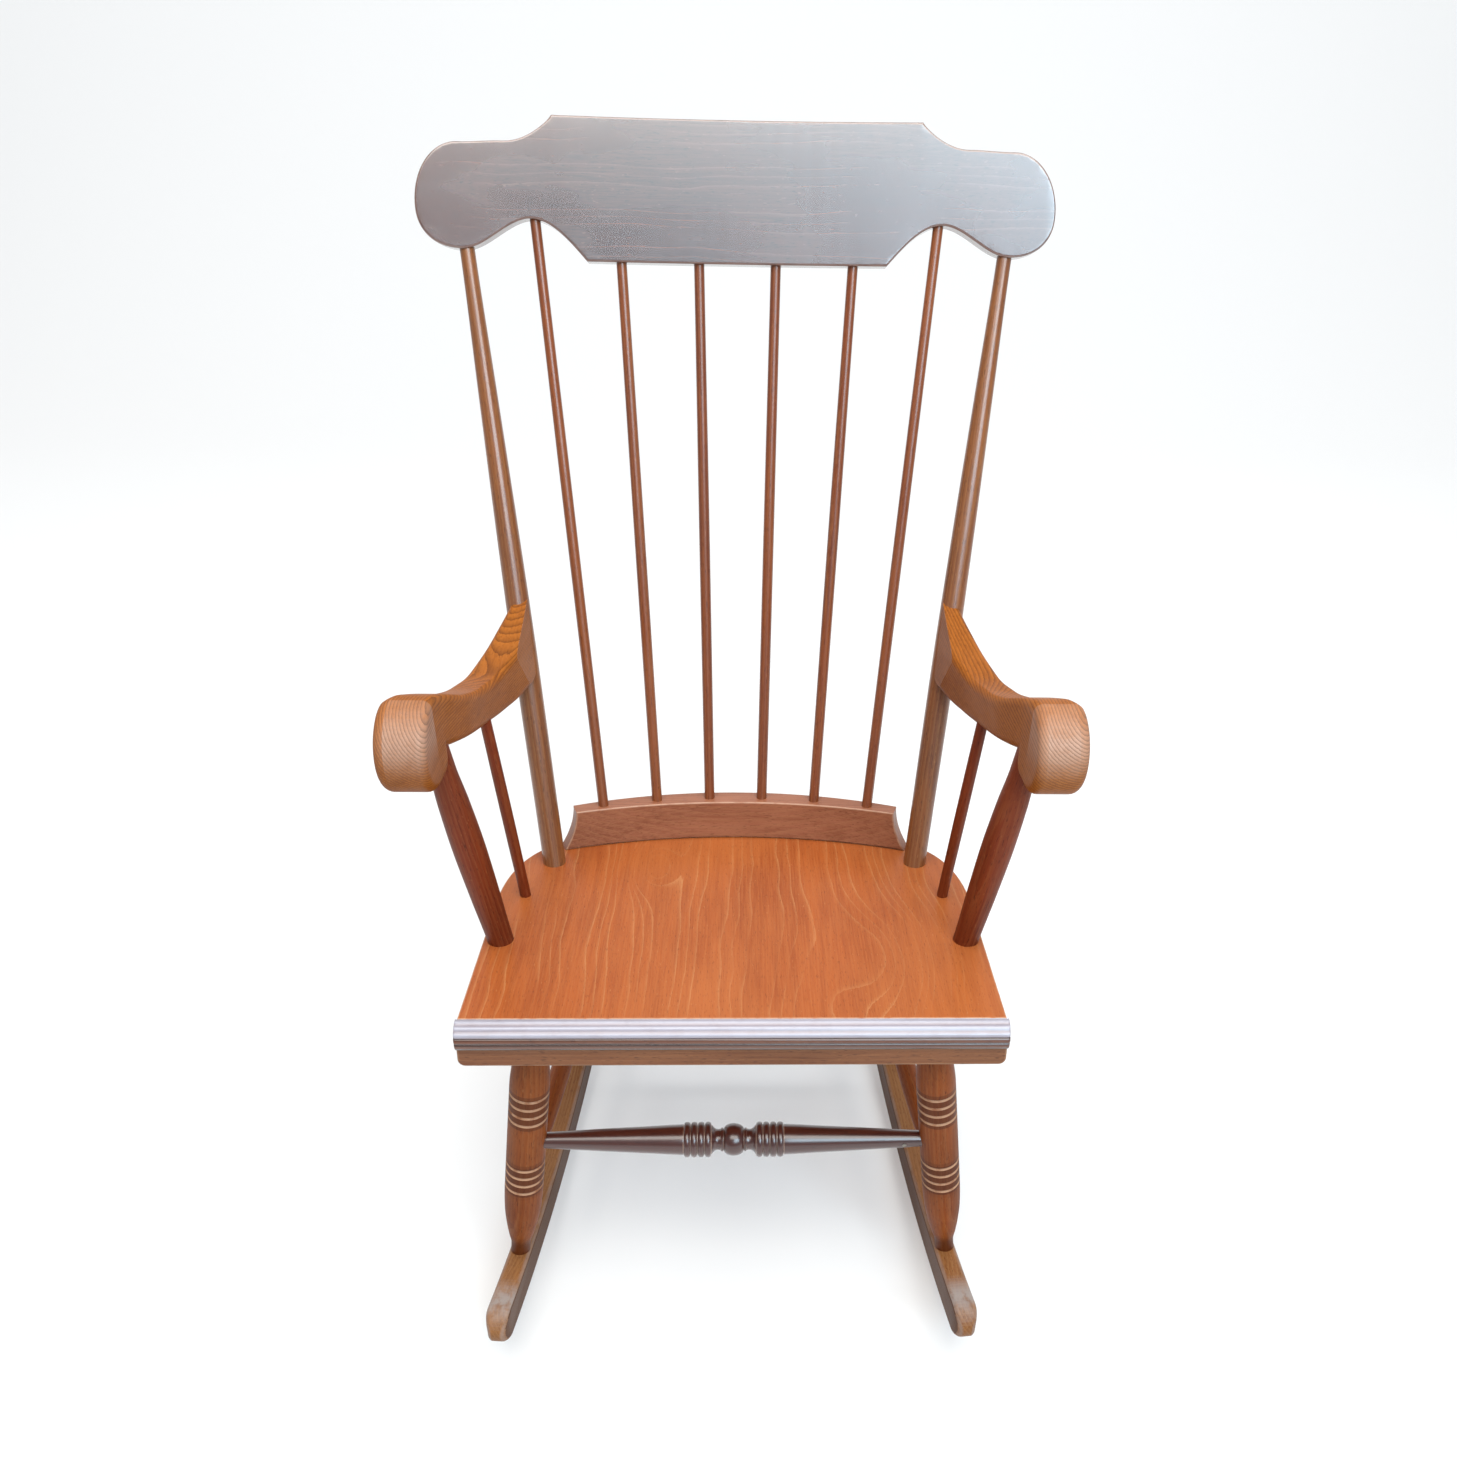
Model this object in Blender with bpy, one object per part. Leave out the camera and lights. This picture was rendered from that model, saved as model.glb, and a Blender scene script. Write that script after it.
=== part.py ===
"""Spindle-back rocking chair: solid beech, staked and turned, on two curved runners.

Metres, +Z up. The chair faces -Y, +X is to the right of someone looking at its front, and the
origin is on the floor below the middle of its box. "Back" distances run from the seat's front
top edge towards the back of the chair.
"""

import math

import bmesh
import bpy
from mathutils import Matrix, Vector

# ---- driving dimensions (metres, radians) ------------------------------------------------
SEAT_FRONT_Y = -0.2954          # the seat's front top edge
SEAT_HEIGHT = 0.412             # its height above the floor
SEAT_TILT = math.atan(0.118)    # the seat falls towards the back
SEAT_HALF_WIDTH = 0.2505
SEAT_THICKNESS = 0.024
SEAT_SIDE_LENGTH = 0.205        # straight side, before the rounded back corner
CORNER_REACH = 0.0605           # half axes of the elliptic back corner
CORNER_DEPTH = 0.120
CORNER_END = math.radians(75)
SEAT_DEPTH = 0.376
NOSE_RADIUS = 0.016             # the reeded nose: a quarter round, then a short drop
NOSE_REEDS = 5
REED_DEPTH = 0.0013             # of the two lower reeds
REED_RIPPLE = 0.0007            # of the three shallow ones above them
BATTEN_HEIGHT = 0.0215
BATTEN_DEPTH = 0.036
BATTEN_SETBACK = 0.006          # behind the nose's foremost point
BATTEN_HALF_WIDTH = 0.2515

RAIL_HEIGHT = 0.0462
RAIL_BACK = 0.353               # back distance of the rail's centre line at its middle
RAIL_RADIUS = 0.55              # plan radius of that line
RAIL_THICK_MIDDLE = 0.026
RAIL_THICK_END = 0.018
RAIL_HALF_TOP = 0.178           # of its front face
RAIL_HALF_FOOT = 0.192
RAIL_END_SPLAY = 0.006          # how much further its back face reaches at each end

BACK_RAKE = math.radians(17.8)  # crest and spindles, from the vertical
CREST_BOW = 2.5                 # plan radius of the crest
CREST_THICK = 0.020
CREST_TOP = 0.7068              # heights along the rake, from the top of the rail
CREST_FOOT = 0.572
CREST_HALF = 0.3205

POST_BASE = (0.2008, 0.2818)    # x and back distance of its centre at the seat's top
POST_TOP = (0.2735, 0.583)      # x and height along the rake, at the crest's ear
POST_RADIUS = 0.0122
POST_TOP_RADIUS = 0.0075
SPINDLE_BASE_X = (0.0299, 0.0897, 0.1494)
SPINDLE_TOP_X = (0.0395, 0.1190, 0.2050)
SPINDLE_RADIUS = 0.0057
SPINDLE_TOP_RADIUS = 0.0053

STUMP_BASE = (0.2330, 0.1275)
STUMP_TOP = (0.2680, 0.1140, 0.640)     # x, back distance and height, inside the arm
STUMP_RADIUS = 0.0126           # at its foot and under the arm
ARM_SPINDLE_BASE = (0.2217, 0.2120)
ARM_SPINDLE_TOP = (0.2450, 0.2165, 0.621)
ARM_SPINDLE_RADIUS = 0.0056
ARM_ROLL = (0.085, 0.652, 0.042)        # back distance, height and radius of the rolled front
ARM_NOTCH = 0.112                       # where the knuckle ends under the arm
SCREW_HEIGHT = 0.612                    # where the arm is screwed to the post

ROCKER_RADIUS = 1.18
ROCKER_LOW_Y = -0.0525          # its lowest point: under the chair's centre of mass
ROCKER_FRONT = 0.3190           # reach from the lowest point, forwards and backwards
ROCKER_REAR = 0.4315
ROCKER_WIDTH = 0.024
ROCKER_HEIGHT = 0.038
ROCKER_X = 0.2292               # centre line in plan, at the seat's front edge
ROCKER_TOE_IN = 0.090           # how fast the two runners close towards the back
ROCKER_FACET = 0.0375           # length of one flat of the runner

FRONT_FOOT = 0.0190             # back distances of the leg feet
REAR_FOOT = 0.375
FRONT_LEG_TOP = (0.1895, 0.042)
REAR_LEG_TOP = (0.1620, 0.2480)
LEG_RADIUS = 0.0197
LEG_NECK = 0.0140               # where it enters the seat
FOOT_RADIUS = 0.0100
FRONT_STRETCHER_Z = 0.2165
SIDE_STRETCHER_Z = 0.150
REAR_STRETCHER_Z = 0.165
STRETCHER_END = 0.0080          # radius of every stretcher in its mortises
STRETCHER_NECK = 0.004          # its straight length outside the leg

GAP = 0.0003                    # glue line left between touching pieces
SEAT_SOCKET = 0.016             # depths of the round mortises
LEG_SOCKET = 0.015
CREST_SOCKET = 0.024
RAIL_SOCKET = 0.020
ARM_SOCKET = 0.016
FOOT_TENON = (0.0060, 0.020)    # radius and length of the tenon into the rocker
STRETCHER_SOCKET = 0.010
BORE_RUN_OUT = 0.02             # how far a boring tool starts outside the wood
DOWEL_RADIUS = 0.0040
SCREW_RADIUS = 0.0018
SCREW_HEAD = 0.0040
PIN_RADIUS = 0.0010
PIN_HEAD = 0.0022
BORE_SIDES = 8                  # facets of fasteners and dowels
TURNED_SIDES = 14
SPINDLE_SIDES = 12

SEAT_PLACE = Matrix.Translation((0, SEAT_FRONT_Y, SEAT_HEIGHT))
SEAT_TURN = SEAT_PLACE @ Matrix.Rotation(-SEAT_TILT, 4, "X")


# ---- materials ----------------------------------------------------------------------------
def wood(name, colour, roughness=0.42):
    """One stained and lacquered beech."""
    material = bpy.data.materials.new(name)
    material.use_nodes = True
    shader = material.node_tree.nodes["Principled BSDF"]
    shader.inputs["Base Color"].default_value = (*colour, 1.0)
    shader.inputs["Roughness"].default_value = roughness
    return material


def steel(name):
    material = wood(name, (0.30, 0.29, 0.28), 0.35)
    material.node_tree.nodes["Principled BSDF"].inputs["Metallic"].default_value = 1.0
    return material


# ---- mesh helpers -------------------------------------------------------------------------
def add_mesh(name, mesh_data, material, matrix=None):
    """Put a finished bmesh into the scene as one named object."""
    mesh = bpy.data.meshes.new(name)
    bmesh.ops.recalc_face_normals(mesh_data, faces=mesh_data.faces)
    mesh_data.to_mesh(mesh)
    mesh_data.free()
    if material:
        mesh.materials.append(material)
    mesh.shade_smooth()
    mesh.set_sharp_from_angle(angle=math.radians(32))
    piece = bpy.data.objects.new(name, mesh)
    bpy.context.collection.objects.link(piece)
    if matrix:
        piece.matrix_world = matrix
    return piece


def loft(mesh_data, loops):
    """Close a stack of equal loops into one body, with a flat cap at each end."""
    rings = [[mesh_data.verts.new(point) for point in loop] for loop in loops]
    count = len(rings[0])
    for lower, upper in zip(rings, rings[1:]):
        for i in range(count):
            j = (i + 1) % count
            mesh_data.faces.new((lower[i], lower[j], upper[j], upper[i]))
    mesh_data.faces.new(reversed(rings[0]))
    mesh_data.faces.new(rings[-1])


def ring(radius, height, sides):
    turn = 2 * math.pi / sides
    return [Vector((radius * math.cos(i * turn), radius * math.sin(i * turn), height))
            for i in range(sides)]


def along(lower, upper):
    """The frame of a turned piece: origin at lower, local Z towards upper."""
    axis = (upper - lower).normalized()
    return Matrix.Translation(lower) @ axis.to_track_quat("Z", "Y").to_matrix().to_4x4()


def turned(name, lower, upper, profile, material, sides=TURNED_SIDES):
    """A piece turned on the lathe: profile holds (distance from lower, radius)."""
    body = bmesh.new()
    loft(body, [ring(radius, distance, sides) for distance, radius in profile])
    return add_mesh(name, body, material, along(lower, upper))


def cut(piece, bores):
    """Cut round mortises: each bore is (lower, upper, start, end, radius, sides)."""
    cut_stepped(piece, [(lower, upper, ((start, radius), (end, radius)), sides)
                        for lower, upper, start, end, radius, sides in bores])


def cut_stepped(piece, bores):
    """Cut turned mortises: each bore is (lower, upper, profile, sides), and a glue line is left."""
    body = bmesh.new()
    for lower, upper, profile, sides in bores:
        bore = bmesh.new()
        clear = GAP / math.cos(math.pi / sides)
        loft(bore, [ring(radius + clear, distance, sides) for distance, radius in profile])
        bore.transform(along(lower, upper))
        bmesh.ops.recalc_face_normals(bore, faces=bore.faces)
        spare = bpy.data.meshes.new("bore")
        bore.to_mesh(spare)
        bore.free()
        body.from_mesh(spare)
        bpy.data.meshes.remove(spare)
    subtract(piece, add_mesh(piece.name + "_mortises", body, None))


def subtract(piece, cutter):
    cutter.display_type = "WIRE"
    cutter.hide_render = True
    boolean = piece.modifiers.new("mortises", "BOOLEAN")
    boolean.operation = "DIFFERENCE"
    boolean.solver = "EXACT"
    boolean.object = cutter


def mirrored(point, side):
    return Vector((side * point[0], point[1], point[2]))


def smooth_step(t):
    return t * t * (3 - 2 * t)


# ---- places ------------------------------------------------------------------------------
def seat_point(x, back, above=0.0):
    """A point over the seat's sloping top."""
    drop = math.tan(SEAT_TILT) * back
    return Vector((x, SEAT_FRONT_Y + back, SEAT_HEIGHT - drop + above))


def back_point(x, height, forward=0.0):
    """A point of the raked and bowed plane that the crest and the spindles stand in."""
    foot = seat_point(0, RAIL_BACK, RAIL_HEIGHT)
    bow = x * x / (2 * CREST_BOW) + forward
    lean = height * math.sin(BACK_RAKE) - bow * math.cos(BACK_RAKE)
    rise = height * math.cos(BACK_RAKE) + bow * math.sin(BACK_RAKE)
    return foot + Vector((x, lean, rise))


def rail_line(x):
    """Back distance of the rail's centre line."""
    return RAIL_BACK - (RAIL_RADIUS - math.sqrt(RAIL_RADIUS ** 2 - x * x))


def rocker_x(back):
    return ROCKER_X - ROCKER_TOE_IN * back


def rocker_top(back):
    """Height of the runner's upper face."""
    reach = SEAT_FRONT_Y + back - ROCKER_LOW_Y
    inner = ROCKER_RADIUS - ROCKER_HEIGHT
    return ROCKER_RADIUS - math.sqrt(inner ** 2 - reach ** 2)


def leg_ends(side, front):
    """Where a leg meets the runner's top and the seat's underside."""
    back = FRONT_FOOT if front else REAR_FOOT
    top_x, top_back = FRONT_LEG_TOP if front else REAR_LEG_TOP
    under = SEAT_THICKNESS / math.cos(SEAT_TILT)
    foot = Vector((side * rocker_x(back), SEAT_FRONT_Y + back, rocker_top(back)))
    return foot, mirrored(seat_point(top_x, top_back, -under), side)


def on_leg(side, front, height):
    foot, top = leg_ends(side, front)
    return foot.lerp(top, (height - foot.z) / (top.z - foot.z))


# ---- seat --------------------------------------------------------------------------------
def seat_outline():
    """Half outline from the front corner round to the middle of the back."""
    points = [Vector((SEAT_HALF_WIDTH, 0, 0))]
    steps = 8
    for i in range(steps + 1):
        angle = CORNER_END * i / steps
        points.append(Vector((SEAT_HALF_WIDTH - CORNER_REACH * (1 - math.cos(angle)),
                              SEAT_SIDE_LENGTH + CORNER_DEPTH * math.sin(angle), 0)))
    end = points[-1]
    sag = SEAT_DEPTH - end.y
    radius = (end.x ** 2 + sag ** 2) / (2 * sag)
    for i in range(1, steps + 1):
        x = end.x * (1 - i / steps)
        points.append(Vector((x, SEAT_DEPTH - radius + math.sqrt(radius ** 2 - x * x), 0)))
    return points


def build_seat(material):
    half = seat_outline()
    outline = half + [Vector((-p.x, p.y, 0)) for p in reversed(half[:-1])]
    edge = 0.003
    inset = 1 - edge / SEAT_HALF_WIDTH
    eased = [Vector((point.x * inset, point.y * inset, 0)) for point in outline]
    levels = ((eased, SEAT_THICKNESS), (outline, SEAT_THICKNESS - edge), (outline, edge), (eased, 0))
    body = bmesh.new()
    loft(body, [[point - Vector((0, 0, depth)) for point in points] for points, depth in levels])
    return add_mesh("seat_panel", body, material, SEAT_TURN)


def nose_section():
    """Front profile in the seat's frame: reeds along a quarter round and the drop below it."""
    quarter = NOSE_RADIUS * math.pi / 2
    drop = SEAT_THICKNESS - NOSE_RADIUS
    steps = 4 * NOSE_REEDS
    points = [Vector((0, -GAP, 0))]
    for i in range(1, steps + 1):
        run = (quarter + drop) * i / steps
        angle = min(run, quarter) / NOSE_RADIUS
        below = max(0.0, run - quarter)
        depth = REED_RIPPLE if i < 12 else REED_DEPTH
        radius = NOSE_RADIUS - depth * (1 - abs(math.sin(math.pi * i / 4)))
        points.append(Vector((0, -radius * math.sin(angle) + 0.2 * below - GAP,
                              radius * math.cos(angle) - NOSE_RADIUS - below)))
    points.append(Vector((0, -GAP, -SEAT_THICKNESS)))
    return points


def build_nose(material):
    """The reeded strip glued on the seat's front edge."""
    section = nose_section()
    ends = ((SEAT_HALF_WIDTH + 0.0015, 0.80), (SEAT_HALF_WIDTH - 0.0015, 1.0))
    stations = [(-x, k) for x, k in ends] + [(x, k) for x, k in reversed(ends)]
    body = bmesh.new()
    loft(body, [[Vector((x, min(p.y * k, -GAP), p.z)) for p in section] for x, k in stations])
    return add_mesh("seat_front_nose", body, material, SEAT_TURN)


def build_batten(material):
    """The plain strip glued under the front edge."""
    front = -NOSE_RADIUS + BATTEN_SETBACK
    top = -SEAT_THICKNESS - GAP
    lean = 0.004
    foot, rear = top - BATTEN_HEIGHT, front + BATTEN_DEPTH
    section = ((front, top), (front, foot + lean), (front + lean, foot), (rear, foot), (rear, top))
    body = bmesh.new()
    loft(body, [[Vector((x, y, z)) for y, z in section]
                for x in (-BATTEN_HALF_WIDTH, BATTEN_HALF_WIDTH)])
    return add_mesh("seat_front_batten", body, material, SEAT_TURN)


# ---- back --------------------------------------------------------------------------------
def build_rail(material):
    """The curved rail on the seat: its ends sweep out to the foot in a cove and face forwards a little."""
    levels = 6
    steps = 14
    body = bmesh.new()
    loops = []
    for level in range(levels + 1):
        t = level / levels
        half = RAIL_HALF_TOP + (RAIL_HALF_FOOT - RAIL_HALF_TOP) * (1 - t) ** 2
        front, back = [], []
        for i in range(steps + 1):
            across = 2 * i / steps - 1
            height = GAP + t * (RAIL_HEIGHT - GAP)
            for row, x, way in ((front, half * across, -1), (back, (half + RAIL_END_SPLAY) * across, 1)):
                thinning = (RAIL_THICK_MIDDLE - RAIL_THICK_END) * (x / RAIL_HALF_FOOT) ** 2
                row.append(Vector((x, rail_line(x) + way * (RAIL_THICK_MIDDLE - thinning) / 2, height)))
        loops.append(front + back[::-1])
    loft(body, loops)
    return add_mesh("back_rail", body, material, SEAT_TURN)


def crest_edges(x):
    """Foot and top of the crest at x, as heights along the rake."""
    x = abs(x)
    ear_x, ear_mid = 0.2765, 0.6220
    ear_reach = CREST_HALF - ear_x
    if x > ear_x:
        reach = min(1.0, (x - ear_x) / ear_reach)
        below = 0.0410 * (1 - reach ** 2.3) ** (1 / 2.3)
        return ear_mid - below, ear_mid + 0.0575 * math.sqrt(1 - reach ** 2)
    top = CREST_TOP
    if x > 0.185:
        t = min(1.0, (x - 0.185) / 0.048)
        top = CREST_TOP - 0.0250 * math.sin(t * math.pi / 2) ** 0.8
        if x > 0.233:
            top -= 0.0023 * smooth_step((x - 0.233) / (ear_x - 0.233))
    foot = CREST_FOOT
    if x > 0.153:
        foot = CREST_FOOT + 0.039 * math.sin(min(1.0, (x - 0.153) / 0.055) * math.pi / 2)
        if x > 0.208:
            foot = 0.611 - 0.0300 * smooth_step((x - 0.208) / (ear_x - 0.208))
    return foot, top


def build_crest(material):
    """The bowed crest rail with its two ears, as strips between its foot and its top edge."""
    half = [0, 0.05, 0.10, 0.152, 0.156, 0.164, 0.174, 0.184, 0.187, 0.193, 0.203, 0.215, 0.228,
            0.245, 0.261, 0.2765, 0.289, 0.300, 0.309, 0.3155, 0.3190, 0.3203]
    stations = [-x for x in reversed(half[1:])] + half
    body = bmesh.new()
    loops = []
    for x in stations:
        foot, top = crest_edges(x)
        loops.append([back_point(x, foot, CREST_THICK / 2), back_point(x, top, CREST_THICK / 2),
                      back_point(x, top, -CREST_THICK / 2), back_point(x, foot, -CREST_THICK / 2)])
    loft(body, loops)
    return add_mesh("crest_rail", body, material)


def post_ends(side):
    base = mirrored(seat_point(*POST_BASE), side)
    x, height = POST_TOP
    return base, mirrored(back_point(x, height), side)


def build_posts(material):
    for side, word in ((-1, "left"), (1, "right")):
        base, top = post_ends(side)
        length = (top - base).length
        profile = [(-SEAT_SOCKET, POST_RADIUS), (0.02, POST_RADIUS), (length * 0.35, POST_RADIUS + 0.0005),
                   (length * 0.55, POST_RADIUS - 0.0006), (length * 0.78, POST_RADIUS - 0.0026),
                   (length, POST_TOP_RADIUS), (length + CREST_SOCKET - GAP, POST_TOP_RADIUS)]
        turned("back_post_" + word, base, top, profile, material)


def spindle_ends(index):
    """Spindles count from the left; the foot stands on the rail, the top meets the crest."""
    side = -1 if index < 3 else 1
    rank = (2, 1, 0, 0, 1, 2)[index]
    base_x, top_x = side * SPINDLE_BASE_X[rank], side * SPINDLE_TOP_X[rank]
    base = SEAT_TURN @ Vector((base_x, rail_line(base_x), RAIL_HEIGHT))
    return base, back_point(top_x, crest_edges(top_x)[0])


def build_spindles(material):
    for index in range(6):
        base, top = spindle_ends(index)
        length = (top - base).length
        profile = [(-RAIL_SOCKET, SPINDLE_RADIUS), (0.0, SPINDLE_RADIUS), (length * 0.4, SPINDLE_RADIUS),
                   (length, SPINDLE_TOP_RADIUS), (length + CREST_SOCKET - GAP, SPINDLE_TOP_RADIUS)]
        turned(f"back_spindle_{index + 1}", base, top, profile, material, SPINDLE_SIDES)


# ---- arms --------------------------------------------------------------------------------
# back distance, outer x, inner x, top, bottom, rounding of the edges, lean of the section
ARM_STATIONS = (
    (0.085, 0.3000, 0.2550, 0.6940, 0.6100, 0.013),
    (0.0998, 0.2960, 0.2540, 0.6900, 0.6130, 0.013),
    (ARM_NOTCH - 0.0004, 0.2915, 0.2525, 0.6850, 0.6195, 0.013),
    (ARM_NOTCH, 0.2914, 0.2524, 0.6849, 0.6320, 0.013),
    (0.130, 0.2860, 0.2490, 0.6755, 0.6245, 0.013),
    (0.165, 0.2800, 0.2425, 0.6560, 0.6135, 0.012),
    (0.215, 0.2738, 0.2370, 0.6365, 0.5960, 0.010),
    (0.260, 0.2660, 0.2300, 0.6275, 0.5840, 0.009),
    (0.300, 0.2578, 0.2215, 0.6310, 0.5780, 0.006),
    (0.340, 0.2492, 0.2190, 0.6400, 0.5770, 0.004, 0.15),
    (0.374, 0.2415, 0.2195, 0.6520, 0.5790, 0.003, 0.3955),
)


def arm_section(side, back, outer, inner, top, bottom, rounding, lean=0.0):
    """One section of the arm, upright or leaning like the post: a rectangle with rounded corners."""
    middle = (top + bottom) / 2
    rounding = min(rounding, 0.49 * (top - bottom), 0.49 * (outer - inner))
    corners = ((outer, top, 0), (inner, top, 1), (inner, bottom, 2), (outer, bottom, 3))
    points = []
    for x, z, quarter in corners:
        sign_x = -1 if x == outer else 1
        sign_z = -1 if z == top else 1
        for i in range(4):
            angle = math.pi / 2 * (quarter + i / 3)
            height = z + sign_z * rounding + rounding * math.sin(angle)
            points.append(Vector((side * (x + sign_x * rounding + rounding * math.cos(angle)),
                                  SEAT_FRONT_Y + back + lean * (height - middle), height)))
    return points


def build_arms(material):
    for side, word in ((-1, "left"), (1, "right")):
        body = bmesh.new()
        loops = []
        middle, height, radius = ARM_ROLL
        for degrees in (4, 14, 28, 44, 60, 76):
            angle = math.radians(degrees)
            rise = radius * math.sin(angle)
            tuck = 0.008 * (1 - math.sin(angle)) ** 2
            outer, inner = 0.3005 - tuck, 0.2555 + tuck
            back = middle - radius * math.cos(angle)
            loops.append(arm_section(side, back, outer, inner, height + rise, height - rise, 0.013))
        loops += [arm_section(side, *station) for station in ARM_STATIONS]
        loft(body, loops)
        arm = add_mesh("arm_" + word, body, material)
        stump, tip = stump_ends(side)
        spindle, spindle_tip = arm_spindle_ends(side)
        base, top = post_ends(side)
        length = (tip - stump).length
        reach = (spindle_tip - spindle).length
        cut(arm, [(stump, tip, length * 0.86, length + ARM_SOCKET, STUMP_RADIUS, TURNED_SIDES),
                  (spindle, spindle_tip, reach * 0.70, reach + GAP, ARM_SPINDLE_RADIUS, SPINDLE_SIDES),
                  (base, top, 0.05, 0.45, POST_RADIUS + 0.0005, TURNED_SIDES)])
        cut(arm, [(*arm_screw_line(side), 0.0, 0.052, SCREW_RADIUS, BORE_SIDES)])


def stump_ends(side):
    base = mirrored(seat_point(*STUMP_BASE), side)
    x, back, height = STUMP_TOP
    return base, mirrored((x, SEAT_FRONT_Y + back, height), side)


def arm_spindle_ends(side):
    base = mirrored(seat_point(*ARM_SPINDLE_BASE), side)
    x, back, height = ARM_SPINDLE_TOP
    return base, mirrored((x, SEAT_FRONT_Y + back, height), side)


def arm_screw_line(side):
    """From behind the post, square to it, forwards and a little outwards into the arm."""
    base, top = post_ends(side)
    middle = base.lerp(top, (SCREW_HEIGHT - base.z) / (top.z - base.z))
    axis = (top - base).normalized()
    ahead = Vector((side * 0.06, -1, 0))
    forward = (ahead - axis * ahead.dot(axis)).normalized()
    start = middle - forward * (POST_RADIUS - 0.0020)
    return start, start + forward * 0.1


def build_arm_supports(stump_wood, spindle_wood, metal):
    for side, word in ((-1, "left"), (1, "right")):
        base, top = stump_ends(side)
        length = (top - base).length
        profile = [(-SEAT_SOCKET, STUMP_RADIUS), (0.0, STUMP_RADIUS), (length * 0.25, 0.0142),
                   (length * 0.5, 0.0153), (length * 0.7, 0.0144), (length * 0.86, STUMP_RADIUS),
                   (length + ARM_SOCKET - GAP, STUMP_RADIUS)]
        turned("arm_stump_" + word, base, top, profile, stump_wood)
        base, top = arm_spindle_ends(side)
        length = (top - base).length
        profile = [(-SEAT_SOCKET, ARM_SPINDLE_RADIUS), (length * 0.5, ARM_SPINDLE_RADIUS),
                   (length, ARM_SPINDLE_RADIUS)]
        turned("arm_spindle_" + word, base, top, profile, spindle_wood, SPINDLE_SIDES)
        start, ahead = arm_screw_line(side)
        head = [(-0.0010, 0.0025), (0.0008, SCREW_HEAD), (0.0030, SCREW_RADIUS), (0.050, SCREW_RADIUS)]
        turned("arm_screw_" + word, start, ahead, head, metal, BORE_SIDES)
        sunk = ((-0.010, SCREW_HEAD), (0.0033, SCREW_HEAD), (0.0034, SCREW_RADIUS + 0.0001),
                (0.04, SCREW_RADIUS + 0.0001))
        cut_stepped(bpy.data.objects["back_post_" + word], [(start, ahead, sunk, BORE_SIDES)])


# ---- legs, stretchers and rockers --------------------------------------------------------
def leg_profile(length):
    """Slim at the seat, full over the middle with two groups of scored rings, slim at the foot."""
    score, half_score = 0.0009, 0.0014
    profile = [(-FOOT_TENON[1], FOOT_TENON[0]), (-0.002, FOOT_TENON[0]), (-0.002, FOOT_RADIUS),
               (length * 0.035, FOOT_RADIUS), (length * 0.085, FOOT_RADIUS + 0.0030),
               (length * 0.14, LEG_RADIUS - 0.0035), (length * 0.20, LEG_RADIUS - 0.0010)]
    for group in (0.315, 0.60):
        for i in range(4):
            middle = length * (group + 0.032 * i)
            profile += [(middle - half_score, LEG_RADIUS), (middle, LEG_RADIUS - score),
                        (middle + half_score, LEG_RADIUS)]
    profile += [(length * 0.80, LEG_RADIUS - 0.0016), (length * 0.90, LEG_RADIUS - 0.0048),
                (length - 0.009, LEG_NECK), (length + LEG_SOCKET - GAP, LEG_NECK)]
    return profile


def build_legs(material):
    for side, word in ((-1, "left"), (1, "right")):
        for front, place in ((True, "front"), (False, "rear")):
            foot, top = leg_ends(side, front)
            turned(f"{place}_leg_{word}", foot, top, leg_profile((top - foot).length), material)


def stretcher_bore(start, end):
    """The mortise for one end of a stretcher: from inside the leg out past its face."""
    return start, end, LEG_RADIUS - STRETCHER_SOCKET - GAP, LEG_RADIUS + BORE_RUN_OUT


def side_ends(side):
    return on_leg(side, True, SIDE_STRETCHER_Z), on_leg(side, False, SIDE_STRETCHER_Z)


def cross_ends(front):
    height = FRONT_STRETCHER_Z if front else REAR_STRETCHER_Z
    return on_leg(-1, front, height), on_leg(1, front, height)


def front_stretcher_profile(length):
    """Tapered arms that swell to a group of four beads, a cove and a ball in the middle."""
    middle = length / 2
    half = [(0.0, 0.0160), (0.006, 0.0150), (0.0098, 0.0108), (0.0118, 0.0118), (0.0135, 0.0105),
            (0.0190, 0.0104), (0.0232, 0.0128)]
    for i in range(4):
        start = 0.0240 + 0.0070 * i
        half += [(start, 0.0150), (start + 0.0018, 0.0174), (start + 0.0050, 0.0174),
                 (start + 0.0068, 0.0150)]
    half += [(0.0545, 0.0145), (0.075, 0.0138), (0.12, 0.0116), (0.165, 0.0092)]
    end = STRETCHER_SOCKET
    left = [(middle - x, r) for x, r in reversed(half)]
    right = [(middle + x, r) for x, r in half[1:]]
    first, last = LEG_RADIUS + STRETCHER_NECK, length - LEG_RADIUS - STRETCHER_NECK
    return ([(LEG_RADIUS - end, STRETCHER_END), (first, STRETCHER_END)] + left + right
            + [(last, STRETCHER_END), (length - LEG_RADIUS + end, STRETCHER_END)])


def plain_profile(length, middle_radius):
    start = LEG_RADIUS - STRETCHER_SOCKET
    neck = LEG_RADIUS + STRETCHER_NECK
    shoulder = (STRETCHER_END + 2 * middle_radius) / 3
    return [(start, STRETCHER_END), (neck, STRETCHER_END), (length * 0.3, shoulder),
            (length * 0.5, middle_radius), (length * 0.7, shoulder),
            (length - neck, STRETCHER_END), (length - start, STRETCHER_END)]


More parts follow.
